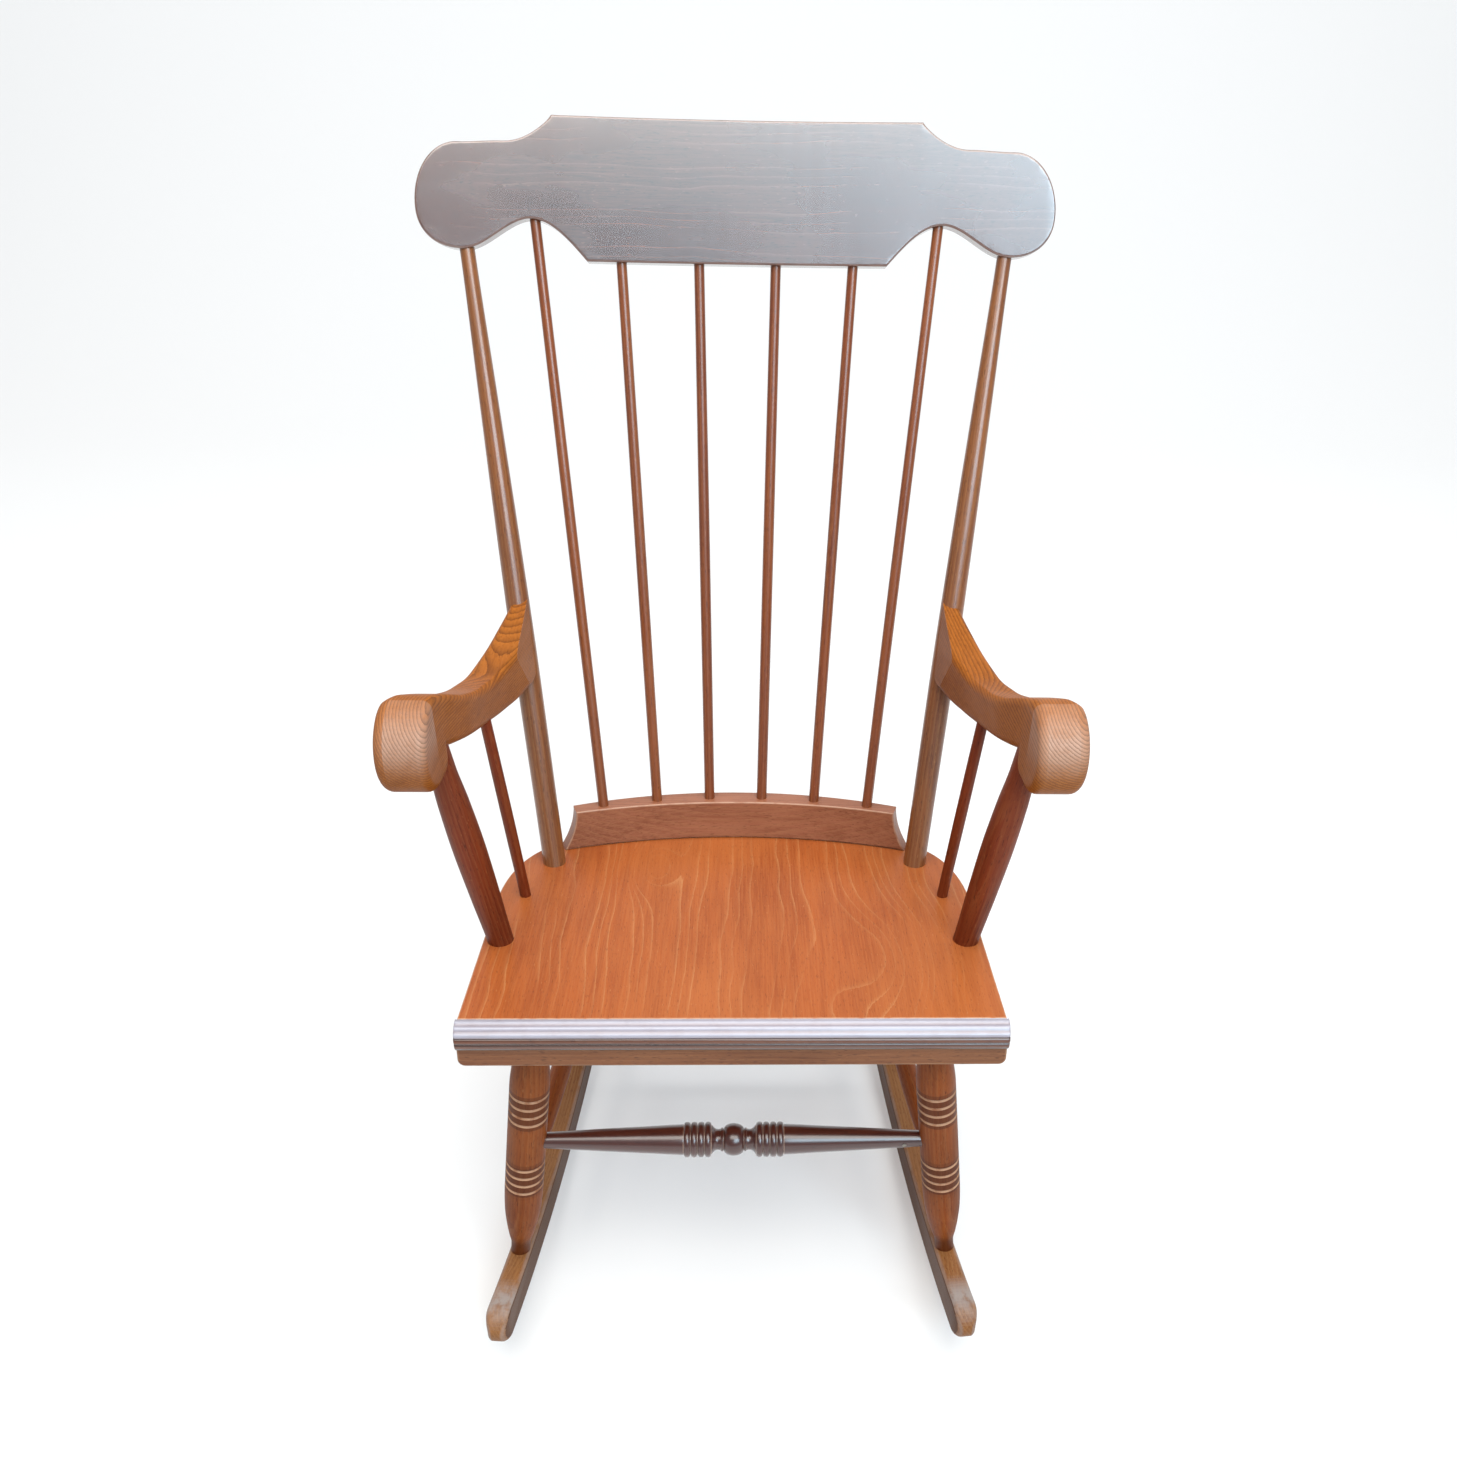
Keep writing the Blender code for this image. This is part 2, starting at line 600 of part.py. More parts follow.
def build_stretchers(dark, brown, metal):
    bores = {(side, front): [] for side in (-1, 1) for front in (True, False)}
    start, end = cross_ends(True)
    turned("front_stretcher", start, end, front_stretcher_profile((end - start).length), dark)
    cross = [(True, start, end)]
    start, end = cross_ends(False)
    turned("rear_stretcher", start, end, plain_profile((end - start).length, 0.0110), dark)
    cross.append((False, start, end))
    for front, start, end in cross:
        bores[-1, front].append((*stretcher_bore(start, end), STRETCHER_END, TURNED_SIDES))
        bores[1, front].append((*far_bore(start, end), STRETCHER_END, TURNED_SIDES))
    for side, word in ((-1, "left"), (1, "right")):
        start, end = side_ends(side)
        length = (end - start).length
        turned("side_stretcher_" + word, start, end, plain_profile(length, 0.0115), brown)
        bores[side, True].append((*stretcher_bore(start, end), STRETCHER_END, TURNED_SIDES))
        bores[side, False].append((*far_bore(start, end), STRETCHER_END, TURNED_SIDES))
        for front, place in ((True, "front"), (False, "rear")):
            cut(bpy.data.objects[f"{place}_leg_{word}"], bores[side, front])
    build_brad(metal)


def far_bore(start, end):
    """The mortise for a stretcher's far end, measured along the same axis and facets."""
    length = (end - start).length
    return start, end, length - LEG_RADIUS - BORE_RUN_OUT, length - LEG_RADIUS + STRETCHER_SOCKET + GAP


def build_brad(metal):
    """The pin that locks the front stretcher, driven in from its front near the right leg."""
    start, end = cross_ends(True)
    middle = start.lerp(end, 1 - 0.036 / (end - start).length)
    outside = middle + Vector((0, -0.0092, 0))
    pin = [(-0.0006, PIN_HEAD), (0.0006, PIN_HEAD), (0.0006, PIN_RADIUS), (0.014, PIN_RADIUS)]
    turned("stretcher_brad", outside, middle, pin, metal, BORE_SIDES)
    sunk = ((-0.004, PIN_HEAD), (0.0009, PIN_HEAD), (0.0010, PIN_RADIUS), (0.0143, PIN_RADIUS))
    cut_stepped(bpy.data.objects["front_stretcher"], [(outside, middle, sunk, BORE_SIDES)])


def build_rockers(material):
    """A sawn runner of flats: both tips rounded, its top edges eased."""
    flats = ROCKER_FACET / ROCKER_RADIUS
    pivot = ROCKER_RADIUS * math.cos(flats / 2)
    first = 0.5 - round(ROCKER_FRONT / ROCKER_FACET + 0.5)
    last = round(ROCKER_REAR / ROCKER_FACET + 0.5) - 0.5
    half, ease = ROCKER_WIDTH / 2, 0.004
    low_back = ROCKER_LOW_Y - SEAT_FRONT_Y
    for side, word in ((-1, "left"), (1, "right")):
        angles = [flats * (first + i) for i in range(int(last - first) + 1)]
        ends = []
        for way, edge in ((-1, angles[0]), (1, angles[-1])):
            for t in (30, 60, 84):
                turn = math.radians(t)
                reach = ROCKER_HEIGHT / 2 * math.sin(turn) / ROCKER_RADIUS
                ends.append((edge + way * reach, math.cos(turn)))
        stations = sorted([(a, 1.0) for a in angles] + ends)
        body = bmesh.new()
        loops = []
        for angle, open_height in stations:
            centre = ROCKER_RADIUS - ROCKER_HEIGHT / 2
            rise = ROCKER_HEIGHT / 2 * open_height
            wide = half * (0.6 + 0.4 * open_height)
            eased = min(ease, rise * 0.8)
            section = ((-wide, -rise), (wide, -rise), (wide, rise - eased), (wide - ease, rise),
                       (-wide + ease, rise), (-wide, rise - eased))
            sine, cosine = math.sin(angle), math.cos(angle)
            loops.append([Vector((x, (centre - z) * sine, pivot - (centre - z) * cosine))
                          for x, z in section])
        loft(body, loops)
        turn = Matrix.Rotation(side * math.atan(ROCKER_TOE_IN), 4, "Z")
        place = Matrix.Translation((side * rocker_x(low_back), ROCKER_LOW_Y, 0)) @ turn
        rocker = add_mesh("rocker_" + word, body, material, place)
        stepped = ((-FOOT_TENON[1] - GAP, FOOT_TENON[0]), (-0.0021 - GAP, FOOT_TENON[0]),
                   (-0.0020 - GAP, FOOT_RADIUS), (BORE_RUN_OUT, FOOT_RADIUS))
        cut_stepped(rocker, [(*leg_ends(side, front), stepped, TURNED_SIDES) for front in (True, False)])


# ---- assembly ----------------------------------------------------------------------------
def bore_seat_and_back():
    seat_bores, crest_bores, rail_bores = [], [], []
    for side in (-1, 1):
        base, top = post_ends(side)
        length = (top - base).length
        seat_bores.append((base, top, -SEAT_SOCKET - GAP, BORE_RUN_OUT, POST_RADIUS, TURNED_SIDES))
        crest_bores.append((base, top, length - BORE_RUN_OUT, length + CREST_SOCKET, POST_TOP_RADIUS,
                            TURNED_SIDES))
        base, top = stump_ends(side)
        seat_bores.append((base, top, -SEAT_SOCKET - GAP, BORE_RUN_OUT, STUMP_RADIUS, TURNED_SIDES))
        base, top = arm_spindle_ends(side)
        seat_bores.append((base, top, -SEAT_SOCKET - GAP, BORE_RUN_OUT, ARM_SPINDLE_RADIUS,
                           SPINDLE_SIDES))
        for front in (True, False):
            foot, top = leg_ends(side, front)
            length = (top - foot).length
            seat_bores.append((foot, top, length - 0.03, length + LEG_SOCKET, LEG_NECK + 0.0002,
                               TURNED_SIDES))
    for index in range(6):
        base, top = spindle_ends(index)
        length = (top - base).length
        rail_bores.append((base, top, -RAIL_SOCKET - GAP, BORE_RUN_OUT, SPINDLE_RADIUS, SPINDLE_SIDES))
        crest_bores.append((base, top, length - BORE_RUN_OUT, length + CREST_SOCKET, SPINDLE_TOP_RADIUS,
                            SPINDLE_SIDES))
    return seat_bores, rail_bores, crest_bores


def build_dowels(material, seat_bores, rail_bores):
    """Glued dowels between the seat and the rail."""
    for x, word in ((-0.12, "left"), (0.0, "middle"), (0.12, "right")):
        low = SEAT_TURN @ Vector((x, rail_line(x), -0.014))
        high = SEAT_TURN @ Vector((x, rail_line(x), 0.018))
        length = (high - low).length
        profile = [(0, DOWEL_RADIUS), (length, DOWEL_RADIUS)]
        turned("rail_dowel_" + word, low, high, profile, material, BORE_SIDES)
        seat_bores.append((low, high, -GAP, length / 2 + 0.004, DOWEL_RADIUS, BORE_SIDES))
        rail_bores.append((low, high, length / 2 - 0.004, length + GAP, DOWEL_RADIUS, BORE_SIDES))


def build_chair():
    for piece in list(bpy.data.objects):
        bpy.data.objects.remove(piece, do_unlink=True)
    seat_wood = wood("seat_beech", (0.36, 0.105, 0.035))
    nose_wood = wood("nose_beech", (0.22, 0.080, 0.035), 0.30)
    crest_wood = wood("crest_beech", (0.150, 0.065, 0.045), 0.34)
    post_wood = wood("post_beech", (0.260, 0.105, 0.040))
    spindle_wood = wood("spindle_beech", (0.280, 0.090, 0.030))
    arm_wood = wood("arm_beech", (0.380, 0.165, 0.045))
    stump_wood = wood("stump_beech", (0.240, 0.060, 0.018))
    leg_wood = wood("leg_beech", (0.290, 0.105, 0.035))
    rocker_wood = wood("rocker_beech", (0.300, 0.135, 0.045))
    dark_wood = wood("stretcher_beech", (0.080, 0.018, 0.012), 0.25)
    metal = steel("fastener_steel")

    seat = build_seat(seat_wood)
    build_nose(nose_wood)
    build_batten(rocker_wood)
    rail = build_rail(stump_wood)
    crest = build_crest(crest_wood)
    build_posts(post_wood)
    build_spindles(spindle_wood)
    build_arms(arm_wood)
    build_arm_supports(stump_wood, spindle_wood, metal)
    build_legs(leg_wood)
    build_stretchers(dark_wood, leg_wood, metal)
    build_rockers(rocker_wood)
    seat_bores, rail_bores, crest_bores = bore_seat_and_back()
    build_dowels(spindle_wood, seat_bores, rail_bores)
    cut(seat, seat_bores)
    cut(rail, rail_bores)
    cut(crest, crest_bores)


build_chair()
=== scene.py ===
"""Looks of the spindle-back rocking chair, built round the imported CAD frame.

Every wooden piece is made again as a fine mesh that stands exactly where its CAD node is: turned
pieces take their axes from the nodes' own end faces, boards are slabs with rounded edges that are
bent to the lines of the frame. Metres, +Z up, the chair faces -Y.
"""

import math

import bmesh
import bpy
from mathutils import Matrix, Vector


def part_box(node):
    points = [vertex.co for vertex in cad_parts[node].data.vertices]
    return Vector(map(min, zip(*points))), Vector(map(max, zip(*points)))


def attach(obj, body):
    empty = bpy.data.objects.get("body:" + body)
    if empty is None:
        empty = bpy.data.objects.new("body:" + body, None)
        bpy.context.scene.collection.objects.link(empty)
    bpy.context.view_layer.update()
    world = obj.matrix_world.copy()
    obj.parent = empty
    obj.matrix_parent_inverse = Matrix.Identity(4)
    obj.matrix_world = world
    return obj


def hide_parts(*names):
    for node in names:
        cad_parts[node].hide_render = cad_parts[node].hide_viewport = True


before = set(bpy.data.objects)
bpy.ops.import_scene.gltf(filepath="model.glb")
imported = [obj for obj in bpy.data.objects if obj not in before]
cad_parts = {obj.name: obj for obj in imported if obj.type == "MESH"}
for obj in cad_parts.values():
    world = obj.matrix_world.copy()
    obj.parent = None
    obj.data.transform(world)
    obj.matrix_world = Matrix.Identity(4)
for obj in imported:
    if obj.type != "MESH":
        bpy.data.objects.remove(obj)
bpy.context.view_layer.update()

BODY = "root"
SIDES = ((-1, "left"), (1, "right"))
TURNED_SIDES, SOCKET_SIDES = 56, 48
SHARP = math.radians(33)
UPWARD = 0.9                    # a face whose normal reaches this along an axis looks that way
QUARTER = math.pi / 2
END_SLACK = 0.0012              # vertices this near the end of an axis belong to the end face
CUT_SLACK = 1e-5
CLEAR = 0.0004                  # how far a socket cutter starts outside the wood


# ---- reading the frame ----
def node_points(name):
    return [vertex.co.copy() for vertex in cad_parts[name].data.vertices]


def centre(points):
    """Middle of distinct points."""
    distinct = {tuple(round(value, 6) for value in point): point for point in points}
    return sum(distinct.values(), Vector()) / len(distinct)


def axis_of(name, key):
    """Both ends of a turned CAD node: the middles of its two end faces."""
    points = node_points(name)
    low, high = min(points, key=key), max(points, key=key)
    for _ in range(4):
        way = (high - low).normalized()
        reach = [point.dot(way) for point in points]
        first, last = min(reach), max(reach)
        low = centre([p for p, r in zip(points, reach) if r < first + END_SLACK])
        high = centre([p for p, r in zip(points, reach) if r > last - END_SLACK])
    return low, high


def upright(name):
    return axis_of(name, lambda point: point.z)


def seat_frame():
    """Local frame of the seat: origin on its front top edge, local Z square to its top."""
    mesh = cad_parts["seat_panel"].data
    top = max((face for face in mesh.polygons if face.normal.z > UPWARD), key=lambda face: face.area)
    edge = max(node_points("seat_panel"), key=lambda point: point.z)
    tilt = math.atan2(top.normal.y, top.normal.z)
    return Matrix.Translation((0, edge.y, edge.z)) @ Matrix.Rotation(-tilt, 4, "X")


SEAT = seat_frame()
TO_SEAT = SEAT.inverted()
SEAT_Y = SEAT.translation.y
SEAT_LEAN = math.atan(0.118)    # the seat falls this much towards the back
SEAT_THICK = -min((TO_SEAT @ point).z for point in node_points("seat_panel"))
SEAT_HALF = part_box("seat_panel")[1].x
SEAT_DEPTH = max((TO_SEAT @ point).y for point in node_points("seat_panel"))


# ---- curves ----
def follow(points, at):
    """A smooth curve through (place, value) points that never overshoots them, read at a place."""
    places = [place for place, _ in points]
    at = min(max(at, places[0]), places[-1])
    i = max(k for k in range(len(points) - 1) if places[k] <= at)

    def secant(k):
        return (points[k + 1][1] - points[k][1]) / (places[k + 1] - places[k])

    def slope(k):
        if k == 0:
            return secant(0)
        if k == len(points) - 1:
            return secant(k - 1)
        before, after = secant(k - 1), secant(k)
        return 0.0 if before * after <= 0 else 2 * before * after / (before + after)

    width = places[i + 1] - places[i]
    t = (at - places[i]) / width
    start, end = points[i][1], points[i + 1][1]
    return (start * (1 + 2 * t) * (1 - t) ** 2 + end * t * t * (3 - 2 * t)
            + slope(i) * width * t * (1 - t) ** 2 - slope(i + 1) * width * t * t * (1 - t))


def smooth_step(t):
    t = min(1.0, max(0.0, t))
    return t * t * (3 - 2 * t)


def spread(start, end, step):
    """Evenly spaced places from start to end, both included."""
    count = max(1, math.ceil(abs(end - start) / step))
    return [start + (end - start) * i / count for i in range(count + 1)]


def arc(x, y, across, up, start, end, steps):
    """Points of an elliptical arc about (x, y), both ends included; angles run anticlockwise."""
    turns = [start + (end - start) * i / steps for i in range(steps + 1)]
    return [Vector((x + across * math.cos(turn), y + up * math.sin(turn))) for turn in turns]


# ---- mesh helpers ----
MITRE_LIMIT = 0.35              # keeps the mitre of a tight corner short


def bridge(body, rings):
    """Close equal rings of vertices into one skin with flat ends."""
    count = len(rings[0])
    for lower, upper in zip(rings, rings[1:]):
        for i in range(count):
            j = (i + 1) % count
            body.faces.new((lower[i], lower[j], upper[j], upper[i]))
    body.faces.new(rings[0][::-1])
    body.faces.new(rings[-1])


def lathe(body, profile, sides, matrix=Matrix()):
    """Add a body of revolution round Z: profile holds (distance along Z, radius)."""
    rings = []
    for distance, radius in profile:
        ring = []
        for i in range(sides):
            turn = 2 * math.pi * i / sides
            point = Vector((radius * math.cos(turn), radius * math.sin(turn), distance))
            ring.append(body.verts.new(matrix @ point))
        rings.append(ring)
    bridge(body, rings)


def inset(outline, distance):
    """The outline moved inwards along its own mitres; it runs anticlockwise."""
    moved = []
    count = len(outline)
    for i in range(count):
        before = (outline[i] - outline[i - 1]).normalized()
        after = (outline[(i + 1) % count] - outline[i]).normalized()
        first, second = Vector((-before.y, before.x)), Vector((-after.y, after.x))
        moved.append(outline[i] + (first + second) * distance / max(MITRE_LIMIT, 1 + first.dot(second)))
    return moved


def slab(outline, half, edges, steps=5, marking=0.9):
    """A board: outline in local XY, half thick each way in Z, its two edges rounded and worn."""
    body = bmesh.new()
    levels = []
    for way, radius in zip((-1, 1), edges):
        side = []
        for i in range(steps + 1):
            angle = QUARTER * i / steps
            side.append((radius * (1 - math.sin(angle)), way * (half - radius * (1 - math.cos(angle)))))
        levels += side if way < 0 else side[::-1]
    bridge(body, [[body.verts.new((point.x, point.y, z)) for point in inset(outline, distance)]
                  for distance, z in levels])
    mark = body.faces.layers.float.new("mark")
    for i, face in enumerate(body.faces):
        band = i // len(outline)
        if len(face.verts) == 4 and band != steps:
            face[mark] = marking * math.sin(math.pi * (band % (steps + 1) + 0.5) / steps)
    return body


def slice_across(body, axis, step):
    """Cut the skin every step along one local axis, so that it can be bent."""
    flat = [face for face in body.faces if len(face.verts) > 4]
    bmesh.ops.triangulate(body, faces=flat)
    places = [vertex.co[axis] for vertex in body.verts]
    normal = Vector([1.0 if i == axis else 0.0 for i in range(3)])
    for place in spread(min(places), max(places), step)[1:-1]:
        whole = body.verts[:] + body.edges[:] + body.faces[:]
        bmesh.ops.bisect_plane(body, geom=whole, plane_co=normal * place, plane_no=normal, dist=CUT_SLACK)


def along(lower, upper, spin=0.0):
    """Frame of a turned piece: origin at lower, local Z towards upper."""
    axis = (upper - lower).normalized()
    turn = axis.to_track_quat("Z", "Y").to_matrix().to_4x4()
    return Matrix.Translation(lower) @ turn @ Matrix.Rotation(spin, 4, "Z")


def place(name, body, slot, matrix=None, shift=(0, 0, 0), look=None):
    """Put a finished skin into the scene as the piece that stands for the CAD node of its name."""
    mesh = bpy.data.meshes.new(name)
    bmesh.ops.recalc_face_normals(body, faces=body.faces)
    body.to_mesh(mesh)
    body.free()
    mesh.materials.append(LOOKS[look or slot])
    piece = bpy.data.objects.new(name, mesh)
    bpy.context.collection.objects.link(piece)
    if matrix:
        piece.matrix_world = matrix
    piece["grain_shift"] = shift
    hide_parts(name)
    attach(piece, BODY)
    return piece


def worn_ring(body, edges, width):
    """Ease a run of sharp edges and mark the new narrow faces as worn."""
    mark = body.faces.layers.float.get("mark") or body.faces.layers.float.new("mark")
    eased = bmesh.ops.bevel(body, geom=edges, offset=width, offset_type="OFFSET", segments=1, profile=0.5,
                            affect="EDGES", clamp_overlap=True)
    for face in eased["faces"]:
        face[mark] = 1.0


def sockets(holes):
    """The cutter for round sockets, each given as (lower, upper, start, end, radius)."""
    body = bmesh.new()
    for lower, upper, start, end, radius in holes:
        lathe(body, ((start, radius), (end, radius)), SOCKET_SIDES, along(lower, upper))
    bmesh.ops.recalc_face_normals(body, faces=body.faces)
    for face in body.faces:
        face.material_index = 1
    mesh = bpy.data.meshes.new("sockets")
    body.to_mesh(mesh)
    body.free()
    cutter = bpy.data.objects.new("sockets", mesh)
    bpy.context.collection.objects.link(cutter)
    return cutter


def bore(piece, holes, rim=0.0014):
    """Cut round sockets into a piece and ease their rims."""
    cutter = sockets(holes)
    material = piece.data.materials[0]
    for holder in (piece.data, cutter.data):
        while len(holder.materials) < 2:
            holder.materials.append(material)
    boolean = piece.modifiers.new("sockets", "BOOLEAN")
    boolean.operation = "DIFFERENCE"
    boolean.object = cutter
    bpy.context.view_layer.update()
    cut = bpy.data.meshes.new_from_object(piece.evaluated_get(bpy.context.evaluated_depsgraph_get()))
    piece.modifiers.clear()
    bpy.data.objects.remove(cutter, do_unlink=True)
    eased = bmesh.new()
    eased.from_mesh(cut)
    rims = [edge for edge in eased.edges if len(edge.link_faces) == 2
            and {face.material_index for face in edge.link_faces} == {0, 1}]
    worn_ring(eased, rims, rim)
    for face in eased.faces:
        face.material_index = 0
    eased.to_mesh(cut)
    eased.free()
    cut.materials.clear()
    cut.materials.append(material)
    piece.data = cut


def smooth(mesh):
    mesh.shade_smooth()
    mesh.set_sharp_from_angle(angle=SHARP)


def dress(piece):
    """Smooth shading, and what the wood reads: where each point lies in its board, and each face's mark,
    which holds worn edges and stains as well as painted shade and painted highlights.
    """
    mesh = piece.data
    smooth(mesh)
    marks = mesh.attributes.get("mark")
    wear_and_painted_light = [item.value for item in marks.data] if marks else [0.0] * len(mesh.polygons)
    layer = mesh.attributes.new("wear_and_painted_light", "FLOAT", "FACE")
    layer.data.foreach_set("value", wear_and_painted_light)
    shift = Vector(piece["grain_shift"])
    grain = mesh.attributes.new("board", "FLOAT_VECTOR", "POINT")
    grain.data.foreach_set("vector", [value for v in mesh.vertices for value in v.co + shift])
    weighted = piece.modifiers.new("even_faces", "WEIGHTED_NORMAL")
    weighted.keep_sharp = True


# ---- wood ----
STUDIO_LEVEL = 2.0              # how bright the studio makes a white face that lies flat


def tone(red, green, blue, level=STUDIO_LEVEL):
    """The linear colour of a face that should show as this display colour in the studio."""
    return tuple(((c / 255 + 0.055) / 1.055) ** 2.4 / level for c in (red, green, blue)) + (1.0,)


class Shader:
    """A material under construction: add() makes a node, feeds it and returns an output."""

    def __init__(self, name):
        self.material = bpy.data.materials.new(name)
        self.material.use_nodes = True
        self.tree = self.material.node_tree
        self.surface = self.tree.nodes["Principled BSDF"]

    def feed(self, socket, value):
        if isinstance(value, bpy.types.NodeSocket):
            self.tree.links.new(value, socket)
        else:
            socket.default_value = value

    def add(self, kind, feeds, output=0, **settings):
        node = self.tree.nodes.new(kind)
        for key, value in settings.items():
            setattr(node, key, value)
        for key, value in feeds.items():
            self.feed(node.inputs[key], value)
        return node.outputs[output]

    def math(self, operation, first, second=0.0):
        return self.add("ShaderNodeMath", {0: first, 1: second}, operation=operation)

    def times(self, first, second):
        return self.math("MULTIPLY", first, second)

    def plus(self, first, second):
        return self.math("ADD", first, second)

    def minus(self, first, second):
        return self.math("SUBTRACT", first, second)

    def blend(self, amount, first, second):
        return self.add("ShaderNodeMix", {0: amount, 6: first, 7: second}, 2, data_type="RGBA")

    def ease(self, value, start, end, low=0.0, high=1.0):
        feeds = {"Value": value, "From Min": start, "From Max": end, "To Min": low, "To Max": high}
        return self.add("ShaderNodeMapRange", feeds, interpolation_type="SMOOTHSTEP")

    def finish(self, values):
        """Give the surface's sockets their colours and values."""
        for socket, value in values.items():
            self.feed(self.surface.inputs[socket], value)

    def noise(self, place, across, length, detail=2.0, rough=0.55):
        """Noise in the board, with that many cells a metre across and along the grain."""
        stretched = self.add("ShaderNodeVectorMath", {0: place, 1: (across, across, length)},
                             operation="MULTIPLY")
        feeds = {"Vector": stretched, "Scale": 1.0, "Detail": detail, "Roughness": rough}
        return self.add("ShaderNodeTexNoise", feeds)


# what the kinds share unless their own line says otherwise
COMMON = {"ring": 0.004, "wander": 0.004, "fleck": 0.6, "blotch": 0.8, "bump": 0.2, "rough": 0.5,
          "gloss": 0.26, "spec": 0.4, "ior": 1.5}
WOOD = {
    # grain axis; base, dark, light and ring-line colours; where the pith lies; ring spacing, how far
    # rings wander and over what cells; how strong ring lines, flecks, blotches and relief are; lacquer
    "seat": dict(
        grain="Y", base=(208, 108, 50), dark=(158, 68, 30), light=(222, 130, 70), line=(240, 168, 108),
        pith=(0.02, -0.3), ring=0.0165, wander=0.06, cells=(5.5, 2.6), strength=0.7, fleck=0.42,
        blotch=0.7, rough=0.42, coat=0.1, gloss=0.3, spec=0.15,
        eyes=(((0.306, 0.575), (0.027, 0.06), 0.06),
              ((0.56, 0.4), (0.06, 0.11), -0.06),
              ((0.5, 0.33), (0.03, 0.045), 0.012))),
    "nose": dict(
        grain="X", base=(118, 64, 44), dark=(84, 42, 30), light=(146, 90, 62), line=(160, 104, 70),
        pith=(0.03, 0.05), ring=0.003, cells=(20, 2), strength=0.3, fleck=0.5, bump=0.06, rough=0.3,
        coat=0.7),
    "batten": dict(
        grain="X", base=(148, 88, 54), dark=(104, 58, 36), light=(172, 112, 74), line=(190, 126, 78),
        pith=(0.03, 0.014), ring=0.0042, wander=0.005, cells=(26, 4), strength=0.28, blotch=1.1,
        rough=0.48, coat=0.15, spec=0.2),
    "rail": dict(
        grain="X", base=(192, 120, 88), dark=(140, 74, 48), light=(214, 144, 108), line=(204, 138, 98),
        pith=(0.04, 0.03), wander=0.01, cells=(22, 3), strength=0.5, fleck=0.45, blotch=1.0, rough=0.4,
        coat=0.15, gloss=0.28, spec=0.2),
    "crest": dict(
        grain="X", base=(84, 48, 42), dark=(56, 32, 30), light=(116, 70, 56), line=(156, 112, 98),
        pith=(0.64, -0.2), ring=0.0135, wander=0.05, cells=(6, 2.0), strength=0.6, fleck=0.7,
        blotch=0.6, bump=0.0, rough=0.28, coat=1.0, gloss=0.17, spec=0.8, ior=1.7,
        eyes=(((0.06, 0.66), (0.1, 0.14), 0.03),)),
    "post": dict(
        grain="Z", base=(154, 89, 46), dark=(106, 53, 27), light=(180, 110, 56), line=(198, 140, 88),
        pith=(0.02, 0.012), cells=(30, 3), strength=0.35, blotch=0.9, rough=0.34, coat=0.5, gloss=0.2),
    "spindle": dict(
        grain="Z", base=(149, 72, 34), dark=(106, 44, 21), light=(178, 99, 49), line=(196, 128, 80),
        pith=(0.01, 0.006), ring=0.0032, wander=0.003, cells=(40, 3), strength=0.3, fleck=0.55,
        blotch=0.9, rough=0.34, coat=0.4, gloss=0.2),
    "arm": dict(
        grain="Y", base=(192, 108, 37), dark=(147, 73, 22), light=(218, 132, 53), line=(104, 54, 20),
        pith=(0.035, 0.05), ring=0.0028, wander=0.006, cells=(16, 2.5), strength=0.75, fleck=0.45,
        coat=0.06, gloss=0.16, spec=0.06),
    "stump": dict(
        grain="Z", base=(143, 54, 21), dark=(97, 32, 12), light=(166, 78, 37), line=(190, 116, 72),
        pith=(0.022, 0.01), cells=(30, 4), strength=0.22, blotch=1.1, coat=0.05, gloss=0.3, spec=0.15),
    "leg": dict(
        grain="Z", base=(167, 80, 30), dark=(108, 49, 21), light=(188, 102, 43), line=(190, 126, 78),
        pith=(0.03, 0.014), ring=0.0042, wander=0.005, cells=(26, 4), strength=0.28, blotch=1.1,
        coat=0.05, spec=0.12),
    "rocker": dict(
        grain="X", base=(172, 110, 62), dark=(118, 66, 36), light=(192, 134, 84), line=(204, 150, 98),
        pith=(0.05, 0.03), ring=0.0034, wander=0.006, cells=(24, 2.5), strength=0.4, fleck=0.5,
        blotch=0.9, coat=0.1, gloss=0.24, spec=0.1),
    "stretcher": dict(
        grain="Z", base=(74, 30, 25), dark=(48, 18, 17), light=(102, 46, 34), line=(114, 58, 42),
        pith=(0.02, 0.01), cells=(30, 4), strength=0.25, fleck=0.4, bump=0.06, rough=0.28, coat=1.0,
        gloss=0.28),
}
TEXTURES = {
    # cells a metre across and along the grain, detail, roughness; where it begins and where it is full
    "streak": (620, 16, 3.0, 0.62, 0.34, 0.68),
    "pore": (1100, 130, 1.0, 0.5, 0.60, 0.72),
    "ray": (520, 170, 1.0, 0.5, 0.68, 0.76),
    "blotch": (16, 5, 3.0, 0.55, 0.36, 0.64),
    "patch": (5.5, 3.5, 2.0, 0.5, 0.40, 0.62),
    "fibre": (130, 7, 2.0, 0.55, 0.38, 0.66),
    "wear_and_highlight_noise": (90, 60, 3.0, 0.6, 0.30, 0.55),
}
LONGEST_TOOTH, RIPPLE = 0.0022, 0.016
CROWD_PITCH, CROWD_PUSH, LINE_END = 2.1, 0.38, 0.985
PLAIN_RISE, BROAD_RISE = 2.5, 11.0      # a higher rise makes a narrower growth line
PORE_DARK, SHADE_AND_STAIN_DARK = 0.72, 0.80
PATCHY = {"nose": 0.10, "arm": 0.20}
WEAR_AND_HIGHLIGHT = {
    # bare or rubbed colour of each kind; the nose's is a painted reflection, and the arm's and rocker's also
    # a painted highlight and sheen
    "seat": (246, 196, 158), "nose": (214, 212, 228), "batten": (206, 156, 116), "rail": (228, 178, 148),
    "crest": (150, 108, 92), "arm": (240, 204, 183), "leg": (226, 176, 140), "rocker": (204, 196, 192),
    "stretcher": (178, 138, 116),
}


